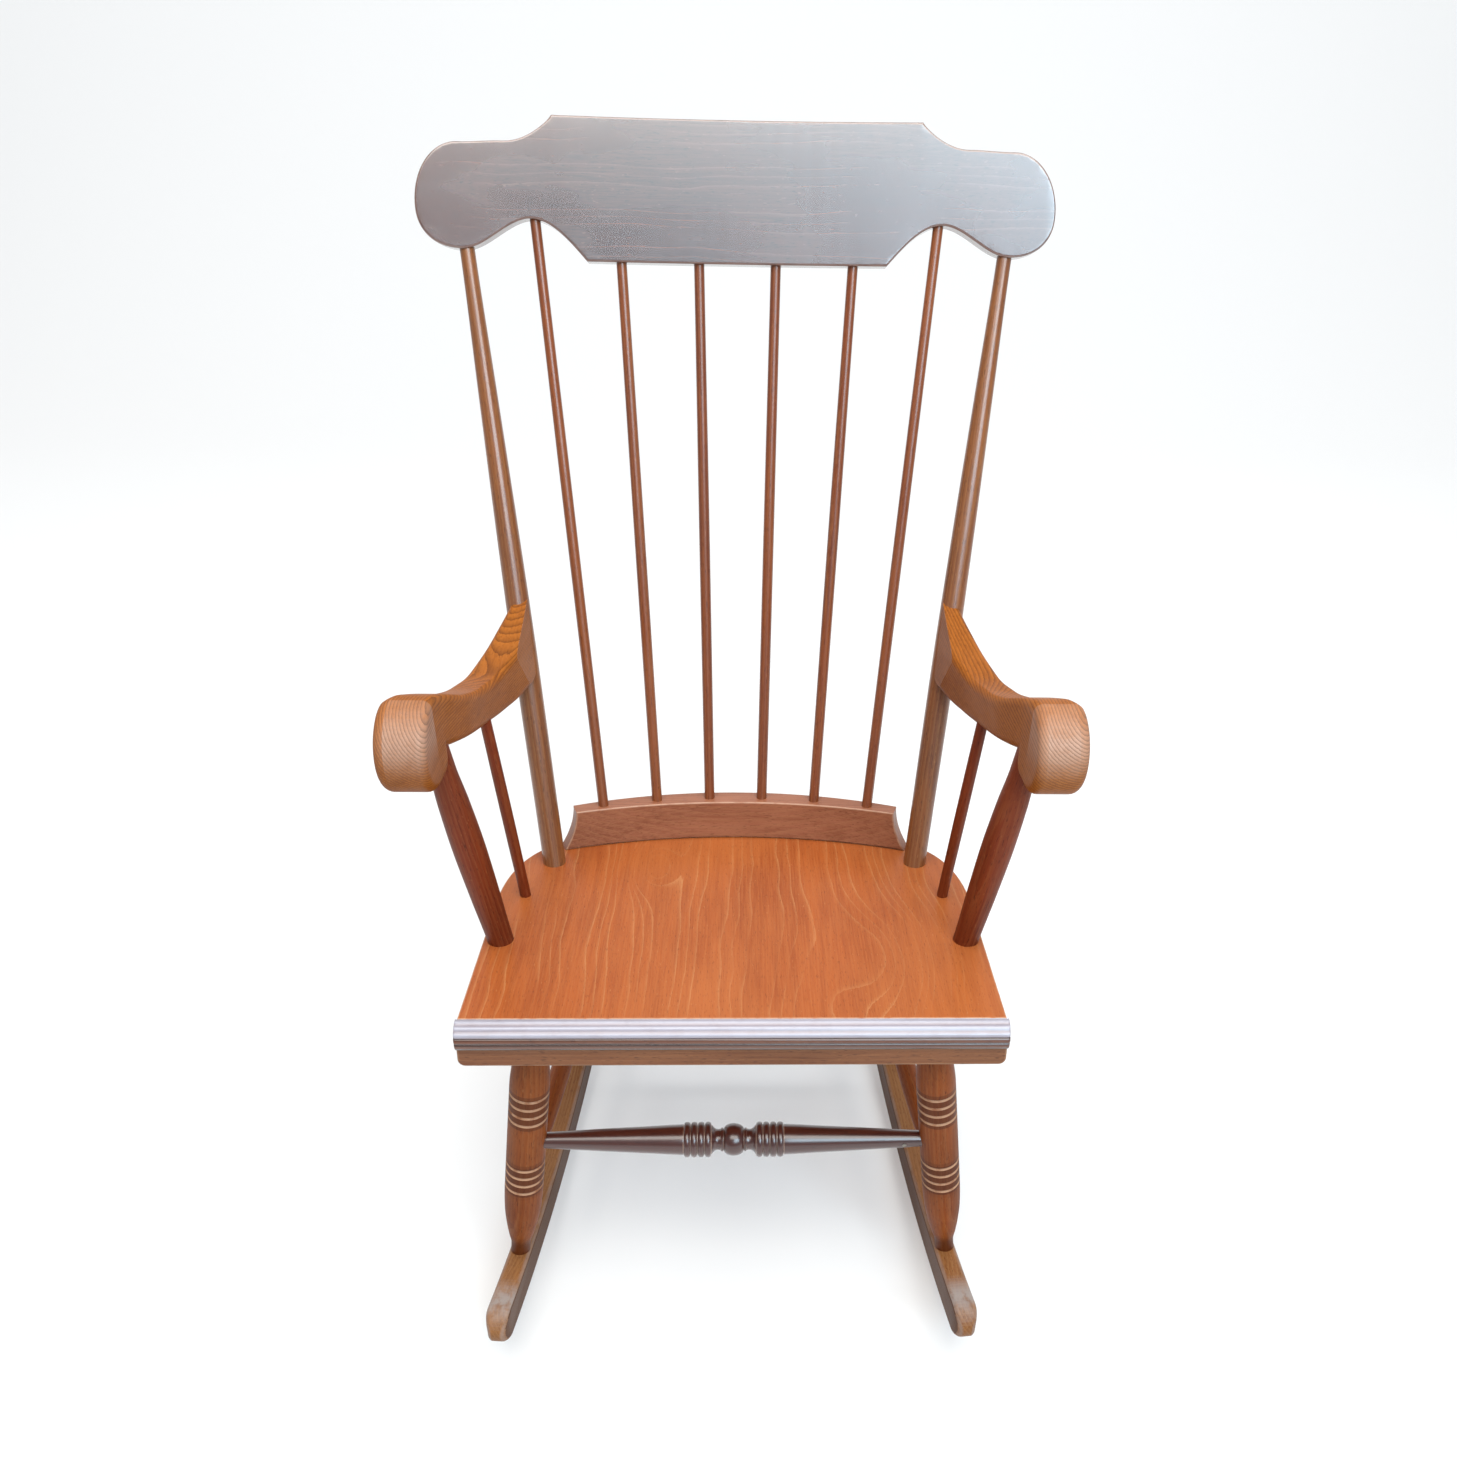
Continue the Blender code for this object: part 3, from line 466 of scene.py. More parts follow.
def ring_lines(make, look, place, across, depth, length):
    """How strongly a growth line shows: 1 on the line itself."""
    broad = "eyes" in look
    ring = look["ring"]
    wave = make.noise(place, *look["cells"], 2.0, 0.45)
    wander = make.times(make.minus(wave, 0.5), look["wander"])
    jag = make.noise(place, 420, 46, 3.0, 0.6)
    tooth = make.times(make.minus(jag, 0.5), min(ring * 0.5, LONGEST_TOOTH))
    radius = side = make.minus(across, look["pith"][0])
    if broad:
        ripple = make.times(make.noise(place, 15, 9, 1.0), RIPPLE)
        radius = make.plus(side, ripple)
        for where, size, push in look["eyes"]:
            near = [make.math("POWER", make.math("DIVIDE", make.minus(line, middle), reach), 2.0)
                    for line, middle, reach in zip((across, length), where, size)]
            hill = make.math("POWER", math.e, make.times(make.plus(*near), -1.0))
            radius = make.plus(radius, make.times(hill, push))
    else:
        deep = make.minus(depth, look["pith"][1])
        radius = make.math("SQRT", make.plus(make.math("POWER", side, 2.0), make.math("POWER", deep, 2.0)))
    count = make.math("DIVIDE", make.plus(radius, make.plus(wander, tooth)), ring)
    if broad:
        crowd = make.math("SINE", make.times(count, CROWD_PITCH))
        count = make.plus(count, make.times(crowd, CROWD_PUSH))
    phase = make.math("FRACT", count)
    rise = make.math("POWER", phase, BROAD_RISE if broad else PLAIN_RISE)
    line = make.times(rise, make.ease(phase, LINE_END, 1.0, 1.0, 0.0))
    if broad:
        fade = make.ease(make.noise(place, 13, 9, 2.0, 0.5), 0.32, 0.62, 0.15, 1.0)
        line = make.times(line, fade)
    return line


def wood(slot):
    """Stained, lacquered beech: growth rings, streaks, pores and ray flecks, blotches, worn edges, and the
    painted shade and painted highlights that the face marks carry.
    """
    look = COMMON | WOOD[slot]
    make = Shader(slot + "_beech")
    board = make.add("ShaderNodeAttribute", {}, 1, attribute_name="board")
    split = make.add("ShaderNodeSeparateXYZ", {0: board}).node
    order = {"X": (1, 2, 0), "Y": (0, 2, 1), "Z": (0, 1, 2)}[look["grain"]]
    across, depth, length = (split.outputs[i] for i in order)
    place = make.add("ShaderNodeCombineXYZ", {0: across, 1: depth, 2: length})
    line = ring_lines(make, look, place, across, depth, length)

    cover = {name: make.ease(make.noise(place, *values[:4]), *values[4:])
             for name, values in TEXTURES.items()}

    dark, light, ringed = (tone(*look[name]) for name in ("dark", "light", "line"))
    layers = ((cover["blotch"], 0.55 * look["blotch"], dark), (cover["fibre"], 0.34, dark),
              (cover["patch"], 0.35, light), (cover["streak"], 0.42, light),
              (line, look["strength"], ringed),
              (cover["pore"], look["fleck"], tone(*(PORE_DARK * c for c in look["dark"]))),
              (cover["ray"], 0.30, ringed))
    colour = tone(*look["base"])
    for mask, amount, over in layers:
        colour = make.blend(make.times(mask, amount), colour, over)

    wear_and_painted_light = make.add("ShaderNodeAttribute", {}, 2, attribute_name="wear_and_painted_light")
    # negative marks darken the wood: real stain round the legs' scored groups, and painted shade at the legs'
    # feet, on the rockers' sides and in the nose's lower reed valleys
    stain_and_painted_shade = make.times(make.math("MAXIMUM", make.times(wear_and_painted_light, -1.0), 0.0), 0.9)
    colour = make.blend(stain_and_painted_shade, colour, tone(*(SHADE_AND_STAIN_DARK * c for c in look["dark"])))
    # positive marks pale the wood: worn edges, socket rims and grooves, and painted highlights on the nose's
    # upper reeds, the arms' rolls and the rockers' front tips
    patchy = PATCHY.get(slot, 0.60)
    wear_and_painted_highlight = make.times(make.math("MAXIMUM", wear_and_painted_light, 0.0),
                      make.plus(make.times(cover["wear_and_highlight_noise"], patchy), 0.90 - patchy))
    pale = WEAR_AND_HIGHLIGHT.get(slot, tuple(min(255, c * 1.12 + 10) for c in look["light"]))
    colour = make.blend(wear_and_painted_highlight, colour, tone(*pale))
    # on the arms the growth lines show again through the worn rim and the painted highlight
    if slot == "arm":
        colour = make.blend(make.times(line, make.times(wear_and_painted_highlight, 1.05)), colour, ringed)

    rough = make.ease(cover["blotch"], 0.0, 1.0, look["rough"] - 0.04, look["rough"] + 0.05)
    relief = make.minus(make.times(cover["streak"], 0.4), cover["pore"])
    bump = make.add("ShaderNodeBump", {"Height": relief, "Strength": look["bump"], "Distance": 0.0004})
    make.finish({"Base Color": colour, "Roughness": make.plus(rough, make.times(wear_and_painted_highlight, 0.10)),
                 "Coat Weight": look["coat"], "Coat Roughness": look["gloss"], "Coat IOR": look["ior"],
                 "Specular IOR Level": look["spec"], "Normal": bump})
    return make.material


def metal():
    """Dark plated steel, a little rubbed."""
    make = Shader("fastener_steel")
    place = make.add("ShaderNodeTexCoord", {}, 3)
    grit = make.noise(place, 2200, 2200, 2.0)
    steel = make.blend(grit, tone(104, 98, 92, 1.0), tone(160, 154, 144, 1.0))
    make.finish({"Base Color": steel, "Roughness": make.ease(grit, 0.3, 0.7, 0.28, 0.50), "Metallic": 1.0})
    return make.material


LOOKS = {slot: wood(slot) for slot in WOOD}
LOOKS["steel"] = metal()


# ---- turned pieces ----
# radii and lengths of the turned pieces
SOCKET = 0.016                          # depth of the sockets in the seat's top
POST_FOOT, POST_BELLY, POST_TOP, POST_TAIL = 0.0122, 0.0129, 0.0075, 0.024
SPINDLE_FOOT, SPINDLE_TOP, SPINDLE_TAIL = 0.0057, 0.0053, 0.024
STUMP_END, ARM_SPINDLE_END = 0.0126, 0.0056
LEG_TENON, LEG_SOCKET, LEG_FULL, LEG_FOOT, LEG_TOP = 0.020, 0.015, 0.0197, 0.0100, 0.0140
SCORE_HALF, SCORE_FLAT, SCORE_DEPTH, SCORE_STEP = 0.0016, 0.0007, 0.0009, 0.032
SCORE_GROUPS, SCORES = (0.315, 0.60), 4
STRETCHER_END, STRETCHER_TENON = 0.0080, 0.014
BEAD, FIRST_BEAD, BEAD_BASE, BEAD_RISE, BEAD_GAP = 0.0070, 0.0225, 0.0148, 0.0026, 0.0004
BALL_LENGTH, BALL_RISE, NECK = 0.0100, 0.0056, 0.0104
BELL_START, BELL_LENGTH, GROOVE_HALF = 0.0132, 0.0088, 0.00055


def turned(name, ends, profile, slot, spin=0.0, shift=(0, 0, 0), marking=None):
    """A piece off the lathe: profile holds (distance from the low end, radius); marking reads a distance and
    gives each face its mark: pale grooves, stains, and on the legs painted shade at the foot.
    """
    body = bmesh.new()
    lathe(body, profile, TURNED_SIDES)
    mark = body.faces.layers.float.new("mark")
    for face in body.faces:
        if marking and len(face.verts) == 4:
            face[mark] = marking(face.calc_center_median().z)
    dress(place(name, body, slot, along(*ends, spin), shift))


def tapered(length, table, step=0.006):
    """Fine profile through a few (distance, radius) points, with flat ends."""
    return [(distance, follow(table, distance)) for distance in spread(0.0, length, step)]


def length_of(ends):
    return (ends[1] - ends[0]).length


def make_posts():
    for side, word in SIDES:
        name = "back_post_" + word
        ends = upright(name)
        whole = length_of(ends)
        free = whole - SOCKET - POST_TAIL
        table = [(0, POST_FOOT), (SOCKET, POST_FOOT), (SOCKET + 0.35 * free, POST_BELLY),
                 (SOCKET + 0.55 * free, 0.0118), (SOCKET + 0.78 * free, 0.0096),
                 (whole - POST_TAIL, POST_TOP), (whole, POST_TOP)]
        turned(name, ends, tapered(whole, table), "post", 1.1 + side, (0.3 * side, 0.2, 0.1))


def make_spindles():
    for index in range(6):
        name = f"back_spindle_{index + 1}"
        ends = upright(name)
        whole = length_of(ends)
        table = [(0, SPINDLE_FOOT), (0.45 * whole, 0.0058), (whole - SPINDLE_TAIL, SPINDLE_TOP),
                 (whole, SPINDLE_TOP)]
        shift = (0.11 * index, 0.3, 0.17 * index)
        turned(name, ends, tapered(whole, table), "spindle", 0.9 * index, shift)


def make_arm_supports():
    for side, word in SIDES:
        name = "arm_stump_" + word
        ends = upright(name)
        whole = length_of(ends)
        free = whole - 2 * SOCKET
        table = [(0, STUMP_END), (SOCKET, STUMP_END), (SOCKET + 0.25 * free, 0.0142),
                 (SOCKET + 0.5 * free, 0.0153), (SOCKET + 0.7 * free, 0.0143),
                 (SOCKET + 0.86 * free, 0.0124), (whole, 0.0124)]
        turned(name, ends, tapered(whole, table), "stump", 0.6 + side, (0.2 * side, 0.5, 0.4))
        name = "arm_spindle_" + word
        ends = upright(name)
        whole = length_of(ends)
        table = [(0, ARM_SPINDLE_END), (0.5 * whole, 0.0059), (whole, 0.0055)]
        turned(name, ends, tapered(whole, table), "stump", 2.0 * side, (0.4, 0.1 * side, 0.7))


def leg_table(free):
    """(height over the tenon, radius): foot, swelling, long belly, neck and socket."""
    return [(0.0, LEG_FOOT), (0.035 * free, LEG_FOOT), (0.085 * free, 0.0132), (0.14 * free, 0.0163),
            (0.21 * free, 0.0188), (0.30 * free, LEG_FULL), (0.72 * free, LEG_FULL), (0.80 * free, 0.0181),
            (0.90 * free, 0.0149), (free - 0.009, LEG_TOP), (free + LEG_SOCKET, LEG_TOP)]


def leg_profile(free, scores):
    """The leg's outline on its thin tenon, with a shallow flat-bottomed groove at every score."""
    table = leg_table(free)
    shape = [(height, follow(table, height)) for height in spread(-0.0018, free + LEG_SOCKET, 0.004)
             if all(abs(height - score) > 1.5 * SCORE_HALF for score in scores)]
    for score in scores:
        radius = follow(table, score)
        shape += [(score - SCORE_HALF, radius), (score - SCORE_FLAT, radius - SCORE_DEPTH),
                  (score + SCORE_FLAT, radius - SCORE_DEPTH), (score + SCORE_HALF, radius)]
    tenon = 0.0060
    return [(0.0, tenon), (LEG_TENON - 0.002, tenon)] + [(LEG_TENON + h, r) for h, r in sorted(shape)]


def leg_marks_and_foot_shade(distance, free, scores):
    """Pale in the scored rings, dark stain around each group of them, and painted shade at the foot, darker
    towards the floor.
    """
    height = distance - LEG_TENON
    if any(abs(height - score) < SCORE_HALF + 0.0001 for score in scores):
        return 1.0
    groups = [sum(scores[i:i + SCORES]) / SCORES for i in range(0, len(scores), SCORES)]
    near = min(abs(height - group) for group in groups)
    # painted shade: the leg darkens towards its foot
    foot = smooth_step((0.10 * free - height) / (0.06 * free))
    return -0.75 * max(smooth_step((0.075 * free - near) / (0.02 * free)), foot)


def make_legs():
    for side, word in SIDES:
        for rank in ("front", "rear"):
            name = f"{rank}_leg_{word}"
            ends = upright(name)
            free = length_of(ends) - LEG_TENON - LEG_SOCKET
            scores = [free * (group + SCORE_STEP * i) for group in SCORE_GROUPS for i in range(SCORES)]
            shift = (0.3 * side, 0.2 if rank == "front" else 0.6, 0.1)
            turned(name, ends, leg_profile(free, scores), "leg", 0.8 * side, shift,
                   lambda distance: leg_marks_and_foot_shade(distance, free, scores))


def front_stretcher_half():
    """Radii from the middle outwards: ball, ring, cove, bell, four beads, then the long taper."""
    half = [tuple(point) for point in arc(0, NECK, BALL_LENGTH, BALL_RISE, QUARTER, 0, 12)]
    half += [(0.0104, NECK), (0.0108, 0.0114), (0.0118, 0.0118), (0.0128, 0.0114), (BELL_START, 0.0106)]
    for i in range(1, 9):
        t = i / 8
        half.append((BELL_START + BELL_LENGTH * t, 0.0106 - 0.0006 * math.sin(math.pi * t) + 0.0036 * t ** 3))
    grooves = [FIRST_BEAD + BEAD * i for i in range(5)]
    for start in grooves[:-1]:
        for k in range(9):
            turn = math.pi * k / 8
            rise = BEAD_RISE * math.sin(turn) ** 0.7 if 0 < k < 8 else 0.0
            run = (BEAD - 2 * BEAD_GAP) * (1 - math.cos(turn)) / 2
            half.append((start + BEAD_GAP + run, BEAD_BASE + rise))
    taper = [(0.0512, 0.0150), (0.062, 0.0146), (0.080, 0.0136), (0.12, 0.0116), (0.165, 0.0092),
             (0.18, 0.0084)]
    half += [(distance, follow(taper, distance)) for distance in spread(taper[0][0], 0.175, 0.005)]
    return half, [0.0105, 0.0131] + grooves


def make_stretchers():
    name = "front_stretcher"
    ends = axis_of(name, lambda point: point.x)
    whole = length_of(ends)
    middle = whole / 2
    half, grooves = front_stretcher_half()
    half = [(d, r) for d, r in half if d < middle - 0.012]
    half += [(middle - 0.010, STRETCHER_END), (middle, STRETCHER_END)]
    profile = [(middle - d, r) for d, r in reversed(half)] + [(middle + d, r) for d, r in half[1:]]

    def marking(distance):
        near = min(abs(abs(distance - middle) - groove) for groove in grooves)
        return 0.9 if near < GROOVE_HALF else 0.0

    turned(name, ends, profile, "stretcher", 0.4, (0.1, 0.1, 0.1), marking)
    for name, key, radius in (("rear_stretcher", 0, 0.0110), ("side_stretcher_left", 1, 0.0115),
                              ("side_stretcher_right", 1, 0.0115)):
        ends = axis_of(name, lambda point: point[key])
        whole = length_of(ends)
        swell = 0.2 * STRETCHER_END + 0.8 * radius
        table = [(0, STRETCHER_END), (STRETCHER_TENON, STRETCHER_END), (0.3 * whole, swell),
                 (0.5 * whole, radius), (0.7 * whole, swell), (whole - STRETCHER_TENON, STRETCHER_END),
                 (whole, STRETCHER_END)]
        slot = "stretcher" if key == 0 else "leg"
        turned(name, ends, tapered(whole, table), slot, 0.5 * key, (0.2, 0.1 * len(name), 0.3))


# ---- seat ----
SIDE_LENGTH, CORNER_REACH, CORNER_DEPTH, CORNER_TURN = 0.205, 0.0605, 0.120, math.radians(75)
BORE_SLACK, BORE_RUN, LEG_BORE = 0.0003, 0.036, 0.0144
NOSE_RADIUS, REEDS, REED_DEPTH, NOSE_STEPS, NOSE_GAP = 0.016, 5, 0.0014, 60, 0.0003
SHALLOW = 0.6                           # this much of the strip has shallow, lit reeds
BATTEN_CORNER = 0.007


def seat_outline():
    """Half outline from the front corner round to the middle of the back, then mirrored."""
    half = [Vector((SEAT_HALF, y)) for y in spread(0.0, SIDE_LENGTH, 0.02)]
    half += arc(SEAT_HALF - CORNER_REACH, SIDE_LENGTH, CORNER_REACH, CORNER_DEPTH, 0, CORNER_TURN, 28)[1:]
    end = half[-1]
    sag = SEAT_DEPTH - end.y
    radius = (end.x ** 2 + sag ** 2) / (2 * sag)
    half += [Vector((x, SEAT_DEPTH - radius + math.sqrt(radius ** 2 - x * x)))
             for x in spread(end.x, 0.0, 0.008)[1:]]
    return half + [Vector((-p.x, p.y)) for p in reversed(half[:-1])]


def make_seat():
    body = slab(seat_outline(), SEAT_THICK / 2, (0.0015, 0.0018))
    bmesh.ops.translate(body, verts=body.verts, vec=(0, 0, -SEAT_THICK / 2))
    seat = place("seat_panel", body, "seat", SEAT, (0.4, 0.3, 0.1))
    holes = []
    for _, word in SIDES:
        for kind, radius in (("back_post_", POST_FOOT), ("arm_stump_", STUMP_END),
                             ("arm_spindle_", ARM_SPINDLE_END)):
            low, high = upright(kind + word)
            holes.append((low, high, -CLEAR, BORE_RUN, radius + BORE_SLACK))
        for rank in ("front", "rear"):
            low, high = upright(f"{rank}_leg_{word}")
            whole = length_of((low, high))
            holes.append((low, high, whole - 0.04, whole + CLEAR, LEG_BORE))
    bore(seat, [(TO_SEAT @ low, TO_SEAT @ high, *rest) for low, high, *rest in holes])
    dress(seat)


def nose_section(high):
    """Section of the reeded strip: reeds round a quarter circle and down the drop below it."""
    quarter, drop = NOSE_RADIUS * QUARTER, SEAT_THICK - NOSE_RADIUS
    section = [Vector((-NOSE_GAP, high))]
    for i in range(1, NOSE_STEPS + 1):
        run = (quarter + drop) * i / NOSE_STEPS
        turn = min(run, quarter) / NOSE_RADIUS
        below = max(0.0, run - quarter)
        across = (i * REEDS / NOSE_STEPS) % 1.0
        if i < SHALLOW * NOSE_STEPS:
            groove = 0.25 * REED_DEPTH * (1 + math.cos(2 * math.pi * across))
        elif i < NOSE_STEPS:
            groove = REED_DEPTH * (1 - math.sin(math.pi * across) ** 0.55)
        else:
            groove = 0.6 * REED_DEPTH
        r = NOSE_RADIUS - groove
        section.append(Vector((-r * math.sin(turn) + 0.2 * below - NOSE_GAP,
                               r * math.cos(turn) - NOSE_RADIUS - below)))
    section.append(Vector((-NOSE_GAP, -SEAT_THICK)))
    return section


def make_nose():
    section = nose_section(max((TO_SEAT @ p).z for p in node_points("seat_front_nose")))
    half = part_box("seat_front_nose")[1].x
    ends = [(-half, 0.86), (-half + 0.0006, 0.95), (-half + 0.002, 1.0)]
    stations = ends + [(x, 1.0) for x in spread(-half + 0.02, half - 0.02, 0.03)]
    stations += [(-x, k) for x, k in reversed(ends)]
    body = bmesh.new()
    bridge(body, [[body.verts.new((x, min(p.x * k, -NOSE_GAP), p.y)) for p in section]
                  for x, k in stations])
    mark = body.faces.layers.float.new("mark")
    # painted reflection: the shallow upper reeds are paled towards a cool colour, most on their crests;
    # painted shade darkens the valleys of the deep lower reeds
    for i, face in enumerate(body.faces):
        band = i % len(section)
        valley = math.cos(2 * math.pi * REEDS * (band + 0.5) / NOSE_STEPS)
        if len(face.verts) == 4 and band < SHALLOW * NOSE_STEPS:
            face[mark] = 0.80 - 0.20 * valley
        elif len(face.verts) == 4 and band < NOSE_STEPS:
            face[mark] = -0.50 * (1 + valley)
    dress(place("seat_front_nose", body, "nose", SEAT, (0.2, 0.1, 0.1)))


def make_batten():
    points = [TO_SEAT @ p for p in node_points("seat_front_batten")]
    front, rear = min(p.y for p in points), max(p.y for p in points)
    top, foot = max(p.z for p in points), min(p.z for p in points)
    half = max(p.x for p in points)
    corner = BATTEN_CORNER
    outline = arc(corner - half, foot + corner, corner, corner, -2 * QUARTER, -QUARTER, 6)
    outline += arc(half - corner, foot + corner, corner, corner, -QUARTER, 0, 6)
    outline += [Vector((half, top)), Vector((-half, top))]
    body = slab(outline, (rear - front) / 2, (0.0010, 0.0022))
    turn = Matrix.Rotation(QUARTER, 4, "X")
    matrix = SEAT @ Matrix.Translation((0, (front + rear) / 2, 0)) @ turn
    dress(place("seat_front_batten", body, "rocker", matrix, (0.6, 0.2, 0.1), "batten"))


# ---- back ----
RAIL_RADIUS = 0.55
RAIL_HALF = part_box("back_rail")[1].x
RAIL_HEIGHT = max((TO_SEAT @ p).z for p in node_points("back_rail"))
RAIL_REAR = max((TO_SEAT @ p).y for p in node_points("back_rail"))
RAIL_THICK, RAIL_END_THICK = 0.026, 0.018
RAIL_COVE, RAIL_SPLAY, RAIL_LIFT = 0.014, 0.006, 0.0003
RAIL_BORE = 0.0061
RAIL_BACK = RAIL_REAR - RAIL_THICK / 2


def rail_line(x):
    return RAIL_BACK - (RAIL_RADIUS - math.sqrt(RAIL_RADIUS ** 2 - x * x))


def make_rail():
    """Curved in plan, thinner towards its ends, which sweep out to the seat in a cove."""
    ends = []
    for height in spread(RAIL_LIFT, RAIL_HEIGHT, 0.002):
        t = (height - RAIL_LIFT) / (RAIL_HEIGHT - RAIL_LIFT)
        ends.append(Vector((RAIL_HALF - RAIL_SPLAY - RAIL_COVE + RAIL_COVE * (1 - t) ** 2, height)))
    outline = ends + [Vector((-p.x, p.y)) for p in reversed(ends)]
    body = slab(outline, RAIL_THICK / 2, (0.0014, 0.0018), 5, 1.0)
    slice_across(body, 0, 0.008)
    for vertex in body.verts:
        x, height, depth = vertex.co
        x *= 1 + RAIL_SPLAY / RAIL_HALF * (0.5 - depth / RAIL_THICK)
        thin = 1 - (1 - RAIL_END_THICK / RAIL_THICK) * (x / RAIL_HALF) ** 2
        vertex.co = (x, rail_line(x) - depth * thin, height)
    rail = place("back_rail", body, "rail", SEAT, (0.1, 0.2, 0.3))
    holes = []
    for index in range(6):
        low, high = upright(f"back_spindle_{index + 1}")
        holes.append((TO_SEAT @ low, TO_SEAT @ high, -CLEAR, 0.04, RAIL_BORE))
    bore(rail, holes, 0.0009)
    dress(rail)


RAKE = math.radians(17.8)
CREST_BOW, CREST_THICK, CREST_TOP, CREST_FOOT = 2.5, 0.020, 0.7068, 0.572
CREST_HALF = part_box("crest_rail")[1].x
EAR_X, EAR_MID, EAR_DROP, EAR_RISE = 0.2765, 0.622, 0.0410, 0.0575
TOP_STEP, TOP_STEP_END, TOP_FALL, TOP_SAG = 0.185, 0.233, 0.0250, 0.0023
FOOT_STEP, FOOT_STEP_END, FOOT_RISE, FOOT_SAG = 0.153, 0.208, 0.039, 0.030


def crest_top(x):
    t = min(1.0, (x - TOP_STEP) / (TOP_STEP_END - TOP_STEP))
    fall = TOP_FALL * math.sin(t * QUARTER) ** 0.8
    return CREST_TOP - fall - TOP_SAG * smooth_step((x - TOP_STEP_END) / (EAR_X - TOP_STEP_END))


def crest_foot(x):
    t = min(1.0, (x - FOOT_STEP) / (FOOT_STEP_END - FOOT_STEP))
    sag = FOOT_SAG * smooth_step((x - FOOT_STEP_END) / (EAR_X - FOOT_STEP_END))
    return CREST_FOOT + FOOT_RISE * math.sin(t * QUARTER) - sag


def crest_outline():
    """In (x, height along the rake), anticlockwise: foot, right ear, top, left ear."""
    right = [Vector((x, CREST_FOOT)) for x in spread(0.0, FOOT_STEP, 0.02)]
    right += [Vector((x, crest_foot(x))) for x in spread(FOOT_STEP, EAR_X, 0.003)[1:]]
    for i in range(1, 40):
        turn = math.pi * i / 40
        lower = turn < QUARTER
        power = 2 / 2.3 if lower else 1.0
        across = (CREST_HALF - EAR_X) * math.sin(turn) ** power
        rise = -EAR_DROP * math.cos(turn) ** power if lower else -EAR_RISE * math.cos(turn)
        right.append(Vector((EAR_X + across, EAR_MID + rise)))
    right += [Vector((x, crest_top(x))) for x in spread(EAR_X, TOP_STEP_END, 0.004)]
    for i in range(1, 15):
        x = TOP_STEP + (TOP_STEP_END - TOP_STEP) * (1 - i / 14) ** 1.5
        right.append(Vector((x, crest_top(x))))
    right += [Vector((x, CREST_TOP)) for x in spread(TOP_STEP, 0.0, 0.02)[1:]]
    return right + [Vector((-p.x, p.y)) for p in reversed(right[1:-1])]


def make_crest():
    body = slab(crest_outline(), CREST_THICK / 2, (0.0022, 0.0022))
    slice_across(body, 0, 0.010)
    for vertex in body.verts:
        x, height, forward = vertex.co
        vertex.co = (x, height, forward + x * x / (2 * CREST_BOW))
    drop = RAIL_BACK * math.tan(SEAT_LEAN)
    foot = SEAT.translation + Vector((0, RAIL_BACK, RAIL_HEIGHT - drop))
    turn = Matrix.Rotation(QUARTER - RAKE, 4, "X")
    dress(place("crest_rail", body, "crest", Matrix.Translation(foot) @ turn, (0.2, 0.1, 0.5)))


# ---- arms ----
ARM_TOP = ((0.085, 0.6940), (0.0998, 0.6905), (0.112, 0.6849), (0.130, 0.6755), (0.165, 0.6560),
           (0.215, 0.6365), (0.260, 0.6280), (0.300, 0.6310), (0.3447, 0.6400), (0.3884, 0.6520))
ARM_UNDER = ((0.112, 0.6320), (0.130, 0.6245), (0.165, 0.6120), (0.215, 0.5960), (0.260, 0.5840),
             (0.300, 0.5780), (0.3353, 0.5770), (0.3596, 0.5790))
ARM_OUTER = ((0.043, 0.3003), (0.085, 0.2996), (0.0998, 0.2960), (0.112, 0.2915), (0.130, 0.2860),
             (0.165, 0.2800), (0.215, 0.2738), (0.260, 0.2660), (0.300, 0.2578), (0.340, 0.2492),
             (0.374, 0.2415), (0.39, 0.2385))
ARM_INNER = ((0.043, 0.2552), (0.085, 0.2550), (0.0998, 0.2540), (0.112, 0.2525), (0.130, 0.2490),
             (0.165, 0.2425), (0.215, 0.2370), (0.260, 0.2300), (0.300, 0.2205), (0.340, 0.2110),
             (0.374, 0.2060), (0.39, 0.2040))
ROLL_BACK, ROLL_HEIGHT, ROLL_RADIUS = 0.085, 0.652, 0.042
THROAT_BACK, THROAT_HEIGHT, THROAT_REACH, THROAT_DROP = 0.097, 0.626, 0.015, 0.016
ARM_HALF, ARM_EASE = 0.0235, 0.0009
POST_FACE = (0.2202, 0.30, 0.615)       # a point on the face that meets the post, from the seat's front
# a painted highlight: a pale patch on the front of each arm's roll, its height and how far it rises
ROLL_HIGHLIGHT_HEIGHT, ROLL_HIGHLIGHT_RISE = 0.672, 0.022
ROLL_HIGHLIGHTS = {"left": (0.268, 0.022), "right": (0.277, 0.030)}     # middle and reach across the roll


def arm_outline():
    """Side view in (back distance, height), anticlockwise seen with the back to the right."""
    points = [Vector((y, follow(ARM_TOP, y))) for y in spread(ARM_TOP[-1][0], ROLL_BACK, 0.005)[:-1]]
    points += arc(ROLL_BACK, ROLL_HEIGHT, ROLL_RADIUS, ROLL_RADIUS, QUARTER, 3 * QUARTER, 36)
    points += arc(THROAT_BACK, THROAT_HEIGHT, THROAT_REACH, THROAT_DROP, -QUARTER, 0, 8)[1:]
    under = spread(ARM_UNDER[0][0], ARM_UNDER[-1][0], 0.005)
    return points + [Vector((y, follow(ARM_UNDER, y))) for y in under]


